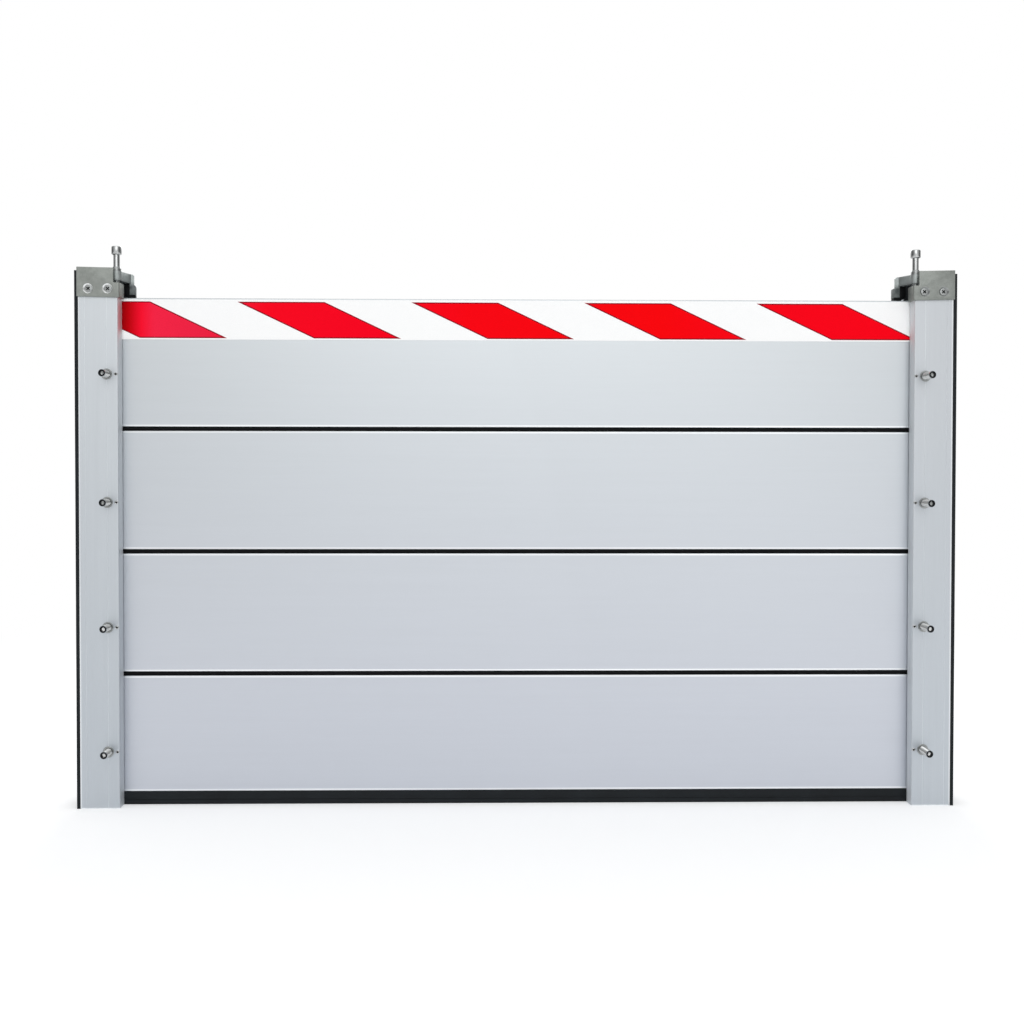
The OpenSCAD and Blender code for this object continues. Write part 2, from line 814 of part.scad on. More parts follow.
left_channel();
right_channel();
left_wall_seal();
right_wall_seal();
left_slot_seal();
right_slot_seal();
plank_1();
plank_2();
plank_3();
plank_4();
plank_seal_1();
plank_seal_2();
plank_seal_3();
color("#1c1f22") bottom_seal();
color("white") hazard_tape();
color("red") hazard_stripes();
left_bracket();
right_bracket();
left_bracket_screws();
right_bracket_screws();
left_clamp_bolt();
right_clamp_bolt();
left_clamp_collar();
right_clamp_collar();
left_claw();
right_claw();
left_claw_pad();
right_claw_pad();
left_inserts();
right_inserts();
left_jack_screw(1);  // left_jack_screw_1
left_jack_screw(2);  // left_jack_screw_2
left_jack_screw(3);  // left_jack_screw_3
left_jack_screw(4);  // left_jack_screw_4
right_jack_screw(1);  // right_jack_screw_1
right_jack_screw(2);  // right_jack_screw_2
right_jack_screw(3);  // right_jack_screw_3
right_jack_screw(4);  // right_jack_screw_4
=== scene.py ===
# %% [markdown]
# # A demountable flood barrier
#
# Four hollow aluminium planks stand on edge between two channels that are bolted to the walls of a
# doorway. Rubber closes every joint, screws in the channels press the planks back on their seals, and
# a claw at each top corner holds the stack down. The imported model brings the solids, the bodies that
# move and their joints. This file gives every solid its finish, cuts the threads, and lights the bay.

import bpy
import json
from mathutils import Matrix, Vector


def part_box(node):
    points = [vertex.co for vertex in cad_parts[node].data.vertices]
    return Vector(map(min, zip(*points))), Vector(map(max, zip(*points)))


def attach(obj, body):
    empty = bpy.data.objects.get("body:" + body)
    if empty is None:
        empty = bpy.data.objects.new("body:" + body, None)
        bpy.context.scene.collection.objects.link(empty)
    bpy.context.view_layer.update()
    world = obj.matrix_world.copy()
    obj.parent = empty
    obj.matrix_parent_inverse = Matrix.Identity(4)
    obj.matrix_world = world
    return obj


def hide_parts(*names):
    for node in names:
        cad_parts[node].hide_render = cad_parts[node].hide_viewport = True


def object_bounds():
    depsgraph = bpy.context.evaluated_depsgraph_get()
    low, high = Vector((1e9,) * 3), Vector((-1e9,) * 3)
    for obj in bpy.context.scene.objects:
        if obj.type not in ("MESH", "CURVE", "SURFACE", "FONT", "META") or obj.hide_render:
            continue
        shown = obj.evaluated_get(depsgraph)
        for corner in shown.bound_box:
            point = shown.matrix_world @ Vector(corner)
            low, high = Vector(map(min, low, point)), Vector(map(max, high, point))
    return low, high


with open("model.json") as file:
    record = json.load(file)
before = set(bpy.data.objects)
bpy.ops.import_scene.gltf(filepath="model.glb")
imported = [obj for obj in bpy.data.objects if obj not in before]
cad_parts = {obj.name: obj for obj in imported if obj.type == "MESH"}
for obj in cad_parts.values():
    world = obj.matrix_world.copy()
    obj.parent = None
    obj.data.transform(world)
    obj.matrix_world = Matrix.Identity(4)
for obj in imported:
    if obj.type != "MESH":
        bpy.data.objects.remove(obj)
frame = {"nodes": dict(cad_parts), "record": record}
CAD_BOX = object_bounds()

# %% [markdown]
# ## Names and units
#
# Blender counts in metres, but whoever makes a barrier thinks in millimetres. Lengths on the bay are
# therefore written in millimetres, and multiplied by MM where they meet Blender. Only the camera, the
# lamps, the floor and the tones along the tape are in metres. The same pieces stand at the left and at
# the right, and planks and jack screws come in rows that are counted from the sill up.

# %% Names and units
import json
import math

import bmesh
import bpy
from mathutils import Matrix, Vector

MM = 0.001
SIDES = ("left", "right")
ROWS = (1, 2, 3, 4)
NODES = frame["nodes"]
LOW, HIGH = (Vector(corner) for corner in CAD_BOX)
MIDDLE = (LOW + HIGH) / 2
print("bay", [round(v / MM) for v in HIGH - LOW], "mm,", len(NODES), "nodes")

# %% [markdown]
# ## Colours and nodes
#
# A colour is easiest to judge as the hex value that a screen shows, but a shader wants linear light,
# so one function turns the first into the second. Another adds a node with its settings and its links
# in one call, and a material then reads as a list of what it is made of. Every pattern starts from the
# Object coordinates, which are metres on the bay itself, so each grain keeps its real size.

# %% Colours and nodes
def linear(code):
    """Turns an sRGB hex colour into the linear RGBA that a shader expects."""
    values = [int(code[i:i + 2], 16) / 255 for i in (1, 3, 5)]
    return [v / 12.92 if v <= 0.04045 else ((v + 0.055) / 1.055) ** 2.4 for v in values] + [1.0]


def add_node(tree, kind, inputs=None, **settings):
    """Adds a node, sets its properties, and fills each input with a value or a link."""
    node = tree.nodes.new(kind)
    for key, value in settings.items():
        setattr(node, key, value)
    for key, value in (inputs or {}).items():
        if isinstance(value, bpy.types.NodeSocket):
            tree.links.new(value, node.inputs[key])
        else:
            node.inputs[key].default_value = value
    return node


def new_material(name):
    """Makes an empty material, prints its name, and returns it, its tree and Object coordinates."""
    material = bpy.data.materials.new(name)
    material.use_nodes = True
    tree = material.node_tree
    tree.nodes.clear()
    place = add_node(tree, "ShaderNodeTexCoord").outputs["Object"]
    print("material", name)
    return material, tree, place


def finish_material(tree, shader):
    """Links a shader to the material's output."""
    add_node(tree, "ShaderNodeOutputMaterial", {"Surface": shader.outputs[0]})


print("sRGB 50% grey is", round(linear("#808080")[0], 3), "in linear light")

# %% [markdown]
# ## Camera
#
# The bay is seen almost square on, from the dry side, a little left of its middle and at three fifths
# of its height. A normal lens from 2 m shows a trace of perspective on the screws and the lips of
# the channels. The camera turns and dips by one degree, and its roll is less than a tenth of that.

# %% Camera
def add_object(name, data):
    """Puts a mesh, a camera or a lamp into the scene, at the origin."""
    made = bpy.data.objects.new(name, data)
    bpy.context.collection.objects.link(made)
    return made


CAMERA_PLACE = (0.667, -2.0, 0.545)
CAMERA_TURN = math.radians(1.055)
CAMERA_DIP = math.radians(1.089)
CAMERA_ROLL = math.radians(0.068)
CAMERA_LENS = 42.57
CAMERA_SHIFT = (-0.0008, -0.0168)

camera_data = bpy.data.cameras.new("camera")
camera_data.lens = CAMERA_LENS
camera_data.shift_x, camera_data.shift_y = CAMERA_SHIFT
camera = add_object("camera", camera_data)
camera.location = CAMERA_PLACE
facing = Matrix.Rotation(-CAMERA_TURN, 3, "Z") @ Matrix.Rotation(math.pi / 2 - CAMERA_DIP, 3, "X")
camera.rotation_euler = (facing @ Matrix.Rotation(CAMERA_ROLL, 3, "Z")).to_euler()
bpy.context.scene.camera = camera
print("camera", CAMERA_PLACE, "lens", CAMERA_LENS, "mm")

# %% [markdown]
# ## Grain and tones
#
# No finish on the bay has one flat tone. Noise that is squeezed across a profile and stretched along
# it looks like the lines that a die leaves, and plain noise looks like grain or cloud. Noise hardly
# leaves the values from 0.3 to 0.7, so that range is spread over two colours, or over two strengths.

# %% Grain and tones
STRETCH = 40
NOISE_LOW, NOISE_HIGH = 0.3, 0.7


def stretched_noise(tree, place, across_mm, along):
    """Noise whose grains are across_mm wide, and STRETCH times as long along one axis."""
    scale = [1 / (across_mm * MM)] * 3
    scale["XYZ".index(along)] /= STRETCH
    mapping = add_node(tree, "ShaderNodeMapping", {"Vector": place, "Scale": scale})
    return add_node(tree, "ShaderNodeTexNoise",
                    {"Vector": mapping.outputs[0], "Scale": 1.0, "Detail": 2.0}).outputs["Fac"]


def spread(tree, noise, low, high):
    """Spreads the range that a noise uses over the values low to high."""
    return add_node(tree, "ShaderNodeMapRange",
                    {"Value": noise, "From Min": NOISE_LOW, "From Max": NOISE_HIGH,
                     "To Min": low, "To Max": high}).outputs[0]


def two_tones(tree, noise, first, second):
    """Lets a noise choose between two hex colours, the first where it is low."""
    share = spread(tree, noise, 0, 1)
    return add_node(tree, "ShaderNodeMix", {"Factor": share, "A": linear(first), "B": linear(second)},
                    data_type="RGBA").outputs["Result"]


print("noise is used from", NOISE_LOW, "to", NOISE_HIGH)

# %% [markdown]
# ## Bright lines
#
# The anodic skin is thin. Along edges and in grooves the metal catches more light than the face
# around it, which reads as a fine bright line. These lines are painted highlights, with no geometry
# for them: the distance from a plane makes a mask that is full in the core of the line and gone at
# its reach, and noise breaks the mask up, so that the highlight is uneven.

# %% Bright lines
LINE_CORE = 0.45
LINE_LEAST = 0.6


def bright_lines(tree, place, lines, noise):
    """A mask of lines, each given as axis, position and reach in metres, broken up by a noise."""
    axes = add_node(tree, "ShaderNodeSeparateXYZ", {"Vector": place}).outputs
    mask = 0.0
    for axis, position, reach in lines:
        offset = add_node(tree, "ShaderNodeMath", {0: axes[axis], 1: position}, operation="SUBTRACT")
        distance = add_node(tree, "ShaderNodeMath", {0: offset.outputs[0]}, operation="ABSOLUTE")
        line = add_node(tree, "ShaderNodeMapRange",
                        {"Value": distance.outputs[0], "From Min": LINE_CORE * reach, "From Max": reach,
                         "To Min": 1.0, "To Max": 0.0})
        mask = add_node(tree, "ShaderNodeMath", {0: mask, 1: line.outputs[0]},
                        operation="MAXIMUM").outputs[0]
    return add_node(tree, "ShaderNodeMath", {0: mask, 1: spread(tree, noise, LINE_LEAST, 1.0)},
                    operation="MULTIPLY").outputs[0]


print("lines are full over", LINE_CORE, "of their reach")

# %% [markdown]
# ## Anodised aluminium
#
# Planks and channels are pushed through a die, etched, and anodised satin. The die leaves faint lines
# along the profile, and the etching turns the gloss into a soft sheen with a fine sparkle. Real die
# lines are finer than these, which are drawn 1.2 mm wide so that they still show. They vary colour,
# roughness and bump together, because a line in the metal changes all three. The colour shifts from
# foot to top, which paints the shade and the cooler light towards the foot. Lines of painted
# highlight are lighter and glossier than the face round them, and a rough kind is rougher instead.

# %% Anodised aluminium
DIE_LINE, DIE_BAND, ETCH_GRAIN = 1.2, 9.0, 0.9
SPARKLE, ETCH_DEPTH = 0.4, 0.02
# Lines of painted highlight get less roughness, and rough ones more, by these amounts.
SATIN_LOW, SATIN_HIGH, HIGHLIGHT_GLOSS, ROUGH_HIGHLIGHT_ROUGHNESS = 0.42, 0.47, -0.12, 0.6
# Heights in metres between which the colour shifts from the foot tones to the top tones: painted shade and
# cooler light at the foot.
TONE_FOOT, TONE_TOP = 0.15, 0.8


def anodised_aluminium(name, along, top, foot, highlight_colour, lines, rough_highlights=()):
    """Satin anodised extrusion with die lines along one axis, and lines of painted highlight, some rough.
    """
    material, tree, place = new_material(name)
    fine = stretched_noise(tree, place, DIE_LINE, along)
    broad = stretched_noise(tree, place, DIE_BAND, along)
    grain = add_node(tree, "ShaderNodeTexNoise",
                     {"Vector": place, "Scale": 1 / (ETCH_GRAIN * MM), "Detail": 1.0}).outputs["Fac"]
    streaks = add_node(tree, "ShaderNodeMix", {"Factor": 0.5, "A": fine, "B": broad}).outputs[0]
    height = add_node(tree, "ShaderNodeMath", {0: grain, 1: SPARKLE, 2: fine}, operation="MULTIPLY_ADD")
    bump = add_node(tree, "ShaderNodeBump", {"Height": height.outputs[0], "Strength": 0.2,
                                             "Distance": ETCH_DEPTH * MM})
    # Painted shade and cooler light: the colour runs from the foot tones to the top tones with height.
    level = add_node(tree, "ShaderNodeSeparateXYZ", {"Vector": place}).outputs["Z"]
    share = add_node(tree, "ShaderNodeMapRange",
                     {"Value": level, "From Min": TONE_FOOT, "From Max": TONE_TOP}).outputs[0]
    tone = add_node(tree, "ShaderNodeMix", {"Factor": share, "A": two_tones(tree, streaks, *foot),
                                            "B": two_tones(tree, streaks, *top)}, data_type="RGBA")
    # Painted highlights: bright lines mixed into the colour.
    mask = bright_lines(tree, place, lines, broad)
    roughness = add_node(tree, "ShaderNodeMath",
                         {0: mask, 1: HIGHLIGHT_GLOSS, 2: spread(tree, streaks, SATIN_LOW, SATIN_HIGH)},
                         operation="MULTIPLY_ADD").outputs[0]
    # A rough painted highlight, lighter and rougher, on lines of its own.
    if rough_highlights:
        rough_highlight_mask = bright_lines(tree, place, rough_highlights, broad)
        roughness = add_node(tree, "ShaderNodeMath", {0: rough_highlight_mask, 1: ROUGH_HIGHLIGHT_ROUGHNESS, 2: roughness},
                             operation="MULTIPLY_ADD").outputs[0]
        mask = add_node(tree, "ShaderNodeMath", {0: mask, 1: rough_highlight_mask}, operation="MAXIMUM").outputs[0]
    colour = add_node(tree, "ShaderNodeMix",
                      {"Factor": mask, "A": tone.outputs["Result"], "B": linear(highlight_colour)},
                      data_type="RGBA")
    shader = add_node(tree, "ShaderNodeBsdfPrincipled", {
        "Base Color": colour.outputs["Result"],
        "Metallic": 1.0,
        "Roughness": roughness,
        "Normal": bump.outputs[0]})
    finish_material(tree, shader)
    return material


print("die lines", DIE_LINE, "and", DIE_BAND, "mm wide,", STRETCH, "times as long")

# %% [markdown]
# ## Channels
#
# The right channel is a shade darker than the left. Each has painted highlights along its outer
# corner and foot, and along two V grooves down its front, whose flanks catch the light. A painted
# highlight that is also rougher lightens the side of its lip. It is centred a little past that side,
# so the side takes part of it and the front hardly any.

# %% Channels
CHANNEL_TOPS = {"left": ("#cbd0d4", "#d0d5d9"), "right": ("#c0c4c8", "#c5c9cd")}
# The channels' foot colour is darker and cooler than their top: painted shade.
CHANNEL_FOOT_SHADE, CHANNEL_HIGHLIGHT = ("#bac0c6", "#bfc5cb"), "#f4f7f9"
# Painted highlights along the outer corner, the foot and the two grooves, and a rougher one on the side of
# the lip.
CORNER_REACH, FOOT_REACH = 3.4 * MM, 2.2 * MM
GROOVE_INSETS, GROOVE_REACH = (11 * MM, 46 * MM), 0.28 * MM
LIP_HIGHLIGHT_REACH, LIP_HIGHLIGHT_PAST = 2 * MM, {"left": 1.52 * MM, "right": 1.24 * MM}

channel_metals = {}
for side in SIDES:
    low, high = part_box(side + "_channel")
    outer, lip, inward = (low[0], high[0], 1) if side == "left" else (high[0], low[0], -1)
    lines = [("X", outer, CORNER_REACH), ("Z", low[2], FOOT_REACH)]
    lines += [("X", outer + inward * inset, GROOVE_REACH) for inset in GROOVE_INSETS]
    rough_highlights = [("X", lip + inward * LIP_HIGHLIGHT_PAST[side], LIP_HIGHLIGHT_REACH)]
    channel_metals[side] = anodised_aluminium("satin_anodised_" + side + "_channel", "Z",
                                              CHANNEL_TOPS[side], CHANNEL_FOOT_SHADE, CHANNEL_HIGHLIGHT,
                                              lines, rough_highlights)

# %% [markdown]
# ## Planks
#
# All four planks share one metal. Its painted highlights follow the long edges that meet at a seam,
# which are rounded on the real extrusion and mirror the light above them. The crown of the top plank,
# just above the tape, has none.

# %% Planks
# The planks' foot colour is cooler than their top: painted cooler light.
PLANK_TOP, PLANK_FOOT_COOL, PLANK_HIGHLIGHT = ("#c6cbce", "#c9ced1"), ("#c6cad2", "#c9cdd5"), "#f6f9fb"
SEAM_HEIGHT, SEAL_LIP = 7 * MM, 4 * MM
# Painted highlights along the long edges at each seam.
BRIGHT_INSET, BRIGHT_REACH = 1.3 * MM, 2.3 * MM

plank_lines = []
for row in ROWS:
    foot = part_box("plank_%d" % row)[0][2]
    edges = [foot + SEAL_LIP + BRIGHT_INSET]
    if row > 1:
        edges = [foot + BRIGHT_INSET, foot - SEAM_HEIGHT - BRIGHT_INSET]
    plank_lines += [("Z", edge, BRIGHT_REACH) for edge in edges]
plank_metal = anodised_aluminium("satin_anodised_planks", "X", PLANK_TOP, PLANK_FOOT_COOL, PLANK_HIGHLIGHT,
                                 plank_lines)
print("bright lines at", [round(height / MM, 1) for _, height, _ in plank_lines], "mm")

# %% [markdown]
# ## Rubber
#
# The seals are black EPDM, extruded like the metal but soft and matt. Its surface is never quite
# even: a fine grain breaks the highlight, and chalky dust dulls it in patches. The wall strips and the
# sill seal are a greyer black. The strips in the seams and the claws' pads get a deeper black, which
# paints the shade that falls in the seams and under the claws.

# %% Rubber
RUBBER_GRAIN, RUBBER_DEPTH, DUST_PATCH = 1.4, 0.05, 45
MATT_LOW, MATT_HIGH = 0.55, 0.7


def matt_rubber(name, dark, dusty, shine):
    """Black extruded rubber with a fine grain and a trace of dust."""
    material, tree, place = new_material(name)
    grain = add_node(tree, "ShaderNodeTexNoise",
                     {"Vector": place, "Scale": 1 / (RUBBER_GRAIN * MM), "Detail": 3.0}).outputs["Fac"]
    dust = add_node(tree, "ShaderNodeTexNoise",
                    {"Vector": place, "Scale": 1 / (DUST_PATCH * MM), "Detail": 4.0}).outputs["Fac"]
    bump = add_node(tree, "ShaderNodeBump",
                    {"Height": grain, "Strength": 0.3, "Distance": RUBBER_DEPTH * MM})
    shader = add_node(tree, "ShaderNodeBsdfPrincipled", {
        "Base Color": two_tones(tree, dust, dark, dusty),
        "Roughness": spread(tree, grain, MATT_LOW, MATT_HIGH),
        "Specular IOR Level": shine,
        "Normal": bump.outputs[0]})
    finish_material(tree, shader)
    return material


rubber = matt_rubber("black_epdm_rubber", "#0b1014", "#13191d", 0.25)
# A deeper black for the seam strips and the claws' pads, which paints the shade in the seams and under the
# claws.
shade_rubber = matt_rubber("black_rubber_painted_shade", "#030406", "#06080a", 0.12)

# %% [markdown]
# ## Reflective film
#
# The hazard tape is a white reflective film with red ink on it. Glass beads under a clear skin give
# it a fine sparkle of tone, and the skin a soft gloss with a little orange peel. Real beads are far
# finer than the 0.8 mm cells that stand for them, which is as small as still shows. A ramp along the
# bay gives the red one tone after another, and its dark tones next to the left channel's lip paint the
# shade that the lip casts on the tape.

# %% Ink along the bay
# The two dark tones next to the left channel's lip paint the shade that the lip casts on the tape.
INK_AND_LIP_SHADE_TONES = ((0.068, "#9c000a"), (0.08, "#c8020c"), (0.10, "#ff1030"), (0.12, "#fa2648"),
             (0.20, "#f02244"), (0.30, "#fc0420"), (0.48, "#fb0020"), (0.63, "#fc0010"),
             (0.95, "#fc0008"), (1.15, "#fb0018"), (1.30, "#fe0018"))


def tinted_along(tree, place, colour, tones):
    """Multiplies a colour by one tone after another along the bay, each at a place in metres."""
    along = add_node(tree, "ShaderNodeSeparateXYZ", {"Vector": place}).outputs["X"]
    share = add_node(tree, "ShaderNodeMapRange", {"Value": along, "From Max": HIGH.x}).outputs[0]
    ramp = add_node(tree, "ShaderNodeValToRGB", {"Fac": share})
    stops = ramp.color_ramp.elements
    while len(stops) < len(tones):
        stops.new(1.0)
    for stop, (where, tone) in zip(stops, tones):
        stop.position = where / HIGH.x
        stop.color = linear(tone)
    return add_node(tree, "ShaderNodeMix", {"Factor": 1.0, "A": colour, "B": ramp.outputs["Color"]},
                    data_type="RGBA", blend_type="MULTIPLY").outputs["Result"]


print("ink in", len(INK_AND_LIP_SHADE_TONES), "tones")

# %% Reflective film
BEAD_SIZE, PEEL_SIZE, PEEL_DEPTH = 0.8, 6, 0.03


def reflective_film(name, deep, bright, gloss, tones=()):
    """Beaded reflective film under a thin clear skin, with tones along the bay if it is inked."""
    material, tree, place = new_material(name)
    beads = add_node(tree, "ShaderNodeTexVoronoi",
                     {"Vector": place, "Scale": 1 / (BEAD_SIZE * MM)}).outputs["Distance"]
    peel = add_node(tree, "ShaderNodeTexNoise",
                    {"Vector": place, "Scale": 1 / (PEEL_SIZE * MM), "Detail": 2.0}).outputs["Fac"]
    bump = add_node(tree, "ShaderNodeBump",
                    {"Height": peel, "Strength": 0.2, "Distance": PEEL_DEPTH * MM})
    colour = two_tones(tree, beads, bright, deep)
    if tones:
        colour = tinted_along(tree, place, colour, tones)
    shader = add_node(tree, "ShaderNodeBsdfPrincipled", {
        "Base Color": colour,
        "Roughness": 0.45,
        "Specular IOR Level": gloss,
        "Normal": bump.outputs[0]})
    finish_material(tree, shader)
    return material


white_film = reflective_film("white_beaded_film", "#f8f9f9", "#fefefe", 0.25)
red_film = reflective_film("red_beaded_film", "#f8f0f0", "#ffffff", 0.03, INK_AND_LIP_SHADE_TONES)
ink_edge = reflective_film("dried_red_ink", "#8a0a1c", "#960c20", 0.03)

# %% [markdown]
# ## Steel
#
# The bracket is stainless plate, tumbled until it is dull and mottled. The claw is a blasted casting,
# with a finer and deeper grain, and darker towards its foot. Bolts and screws come bright from the
# machine. One recipe makes them all: a metal whose cloudy tone and fine grain have their own sizes and
# strengths.

# %% Steel
CLOUD_SIZE, ROUGH_SWING, DARKENING_LEAST = 7, 0.05, 0.55
DARKENING_FROM, DARKENING_TO = 14 * MM, 22 * MM


def stainless(name, dark, light, rough, grain_mm, depth_mm, darkening=None):
    """Steel with a cloudy tone, a grain of a given size, and a darkening from one height down to another.
    """
    material, tree, place = new_material(name)
    cloud = add_node(tree, "ShaderNodeTexNoise", {
        "Vector": place, "Scale": 1 / (CLOUD_SIZE * MM), "Detail": 5.0, "Roughness": 0.65}).outputs["Fac"]
    grain = add_node(tree, "ShaderNodeTexNoise",
                     {"Vector": place, "Scale": 1 / (grain_mm * MM), "Detail": 3.0}).outputs["Fac"]
    bump = add_node(tree, "ShaderNodeBump", {"Height": grain, "Strength": 0.6, "Distance": depth_mm * MM})
    mottle = add_node(tree, "ShaderNodeMix", {"Factor": 0.5, "A": grain, "B": cloud}).outputs[0]
    colour = two_tones(tree, mottle, dark, light)
    if darkening:
        code, full, gone = darkening
        level = add_node(tree, "ShaderNodeSeparateXYZ", {"Vector": place}).outputs["Z"]
        toward_foot = add_node(tree, "ShaderNodeMapRange",
                       {"Value": level, "From Min": gone, "From Max": full}).outputs[0]
        patchy = add_node(tree, "ShaderNodeMath", {0: toward_foot, 1: spread(tree, cloud, DARKENING_LEAST, 1.0)},
                          operation="MULTIPLY").outputs[0]
        colour = add_node(tree, "ShaderNodeMix", {"Factor": patchy, "A": colour, "B": linear(code)},
                          data_type="RGBA").outputs["Result"]
    shader = add_node(tree, "ShaderNodeBsdfPrincipled", {
        "Base Color": colour,
        "Metallic": 1.0,
        "Roughness": spread(tree, grain, rough - ROUGH_SWING, rough + ROUGH_SWING),
        "Normal": bump.outputs[0]})
    finish_material(tree, shader)
    return material


claw_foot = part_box("left_claw")[0][2]
tumbled_steel = stainless("tumbled_stainless_plate", "#858985", "#a1a5a1", 0.58, 1.6, 0.08)
cast_steel = stainless("blasted_stainless_casting", "#959b9a", "#b2b8b7", 0.55, 0.9, 0.10,
                       ("#4a4e4f", claw_foot + DARKENING_FROM, claw_foot + DARKENING_TO))
bright_steel = stainless("bright_turned_stainless", "#b0b2b2", "#c6c8c8", 0.20, 0.5, 0.01)
worn_steel = stainless("worn_stainless", "#8d9090", "#a8abaa", 0.35, 0.8, 0.03)
# A dark steel for the plate's bevels, which paints the shade and dark reflection along its edges.
edge_shade_steel = stainless("plate_edges_painted_shade", "#3e413f", "#6d706d", 0.5, 0.9, 0.05)
# A near white steel that paints highlights: the socket floors of the lower jack screws and the countersinks
# of the left bracket.
highlight_steel = stainless("stainless_painted_highlight", "#e6e8e8", "#f4f5f5", 0.38, 0.6, 0.01)
# A black steel that paints shade and dark reflection: on the ends and socket walls of the jack screws, in
# the hollows of the rivets and in the cross recesses.
shade_steel = stainless("steel_painted_shade", "#16181a", "#26282a", 0.42, 0.6, 0.02)

# %% [markdown]
# ## Dressing the solids
#
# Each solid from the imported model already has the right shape, so it only needs its finish. The
# record says which material slot a node has, and one table pairs the slots with the materials. Then
# the channels, planks, collars and seam strips get the finishes that are theirs alone.

# %% Dress
FINISHES = {"rubber": rubber, "white_film": white_film, "red_film": red_film,
            "bracket_steel": tumbled_steel, "claw_steel": cast_steel, "screw_steel": bright_steel}


def dress(node, material):
    """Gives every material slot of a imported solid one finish."""
    for slot in NODES[node].material_slots:
        slot.material = material


for subpart in frame["record"]["subparts"]:
    if subpart["material_slot"] in FINISHES:
        dress(subpart["node"], FINISHES[subpart["material_slot"]])
for side in SIDES:
    dress(side + "_channel", channel_metals[side])
    dress(side + "_clamp_collar", worn_steel)
for row in ROWS:
    dress("plank_%d" % row, plank_metal)
# The seam strips get the deeper black that paints the shade in the seams.
for row in ROWS[:-1]:
    dress("plank_seal_%d" % row, shade_rubber)

# %% [markdown]
# ## Turned blanks
#
# Every screw on the bay starts on a lathe as a blank, and gets its socket and its thread afterwards.
# A blank is a list of rings, each with a radius, a height and a number of corners: 0 is round, and 6
# is the outline of a hexagon socket. Joining ring to ring gives outside, socket and tip in one closed
# skin, with no boolean cut that could tear. A first and a last ring in one place close a tube.

# %% Turned blanks
ROUND, HEXAGON = 0, 6
AROUND = 48
MERGE = 0.01 * MM


def ring_radius(radius, corners, angle):
    """Distance from the axis to a ring's outline, at an angle."""
    if corners == ROUND:
        return radius
    sector = 2 * math.pi / corners
    return radius * math.cos(sector / 2) / math.cos(angle % sector - sector / 2)


def turned_blank(name, rings, around=AROUND):
    """Joins rings of radius in mm, height in mm and corners into a closed mesh along Z."""
    bm = bmesh.new()
    rows = []
    for radius, height, corners in rings:
        count = around if radius > 0 else 1
        angles = [2 * math.pi * k / count for k in range(count)]
        reaches = [ring_radius(radius, corners, angle) * MM for angle in angles]
        rows.append([bm.verts.new((reach * math.cos(angle), reach * math.sin(angle), height * MM))
                     for angle, reach in zip(angles, reaches)])
    for low, high in zip(rows, rows[1:]):
        for k in range(around):
            corners = [low[k % len(low)], low[(k + 1) % len(low)],
                       high[(k + 1) % len(high)], high[k % len(high)]]
            bm.faces.new(list(dict.fromkeys(corners)))
    bmesh.ops.remove_doubles(bm, verts=bm.verts, dist=MERGE)
    bmesh.ops.recalc_face_normals(bm, faces=bm.faces)
    mesh = bpy.data.meshes.new(name)
    bm.to_mesh(mesh)
    bm.free()
    return mesh


def thread_rings(radius, start, end, pitch):
    """Rings that are close enough for a thread to be cut into them."""
    steps_a_turn = 6
    count = round((end - start) / pitch * steps_a_turn)
    return [(radius, start + (end - start) * k / count, ROUND) for k in range(count + 1)]


print("blanks have", AROUND, "sides")

# %% [markdown]
# ## Cutting threads
#
# A thread is a groove that climbs by one pitch for every turn, so it follows a rule and needs no
# drawing: for any point on the blank, its height over the pitch less its angle over a full turn says
# where in the groove it is. Geometry Nodes push each point inwards by that. The named inputs are those
# of a real thread, and both its ends run out over one pitch, as a die leaves them.

# %% Geometry trees
def geometry_tree(name, inputs):
    """Makes a geometry tree with named inputs and returns it with their sockets."""
    tree = bpy.data.node_groups.new(name, "GeometryNodeTree")
    tree.interface.new_socket("Geometry", in_out="OUTPUT", socket_type="NodeSocketGeometry")
    tree.interface.new_socket("Geometry", in_out="INPUT", socket_type="NodeSocketGeometry")
    for label, kind in inputs.items():
        tree.interface.new_socket(label, in_out="INPUT", socket_type="NodeSocket" + kind)
    return tree, add_node(tree, "NodeGroupInput").outputs


def end_tree(tree, geometry, material):
    """Ends a tree in real geometry with its material."""
    real = add_node(tree, "GeometryNodeRealizeInstances", {"Geometry": geometry}).outputs[0]
    done = add_node(tree, "GeometryNodeSetMaterial", {"Geometry": real, "Material": material})
    add_node(tree, "NodeGroupOutput", {"Geometry": done.outputs[0]})
    print(tree.name, "has", len(tree.nodes), "nodes")


# %% Where a point is in the groove
THREAD_ROOT, THREAD_CREST = 0.12, 0.88

thread, given = geometry_tree("screw_thread", {
    "Radius": "Float", "Pitch": "Float", "Depth": "Float", "Start": "Float", "End": "Float",
    "Material": "Material"})
point = add_node(thread, "GeometryNodeInputPosition").outputs[0]
axes = add_node(thread, "ShaderNodeSeparateXYZ", {"Vector": point}).outputs
flat = add_node(thread, "ShaderNodeCombineXYZ", {"X": axes["X"], "Y": axes["Y"]}).outputs[0]
angle = add_node(thread, "ShaderNodeMath", {0: axes["Y"], 1: axes["X"]}, operation="ARCTAN2").outputs[0]
turns = add_node(thread, "ShaderNodeMath", {0: angle, 1: 2 * math.pi}, operation="DIVIDE").outputs[0]
rise = add_node(thread, "ShaderNodeMath", {0: axes["Z"], 1: given["Pitch"]}, operation="DIVIDE").outputs[0]
climb = add_node(thread, "ShaderNodeMath", {0: rise, 1: turns}, operation="SUBTRACT").outputs[0]
phase = add_node(thread, "ShaderNodeMath", {0: climb}, operation="FRACT").outputs[0]
swing = add_node(thread, "ShaderNodeMath", {0: phase, 1: 2.0, 2: -1.0}, operation="MULTIPLY_ADD").outputs[0]
flank = add_node(thread, "ShaderNodeMath", {0: swing}, operation="ABSOLUTE").outputs[0]
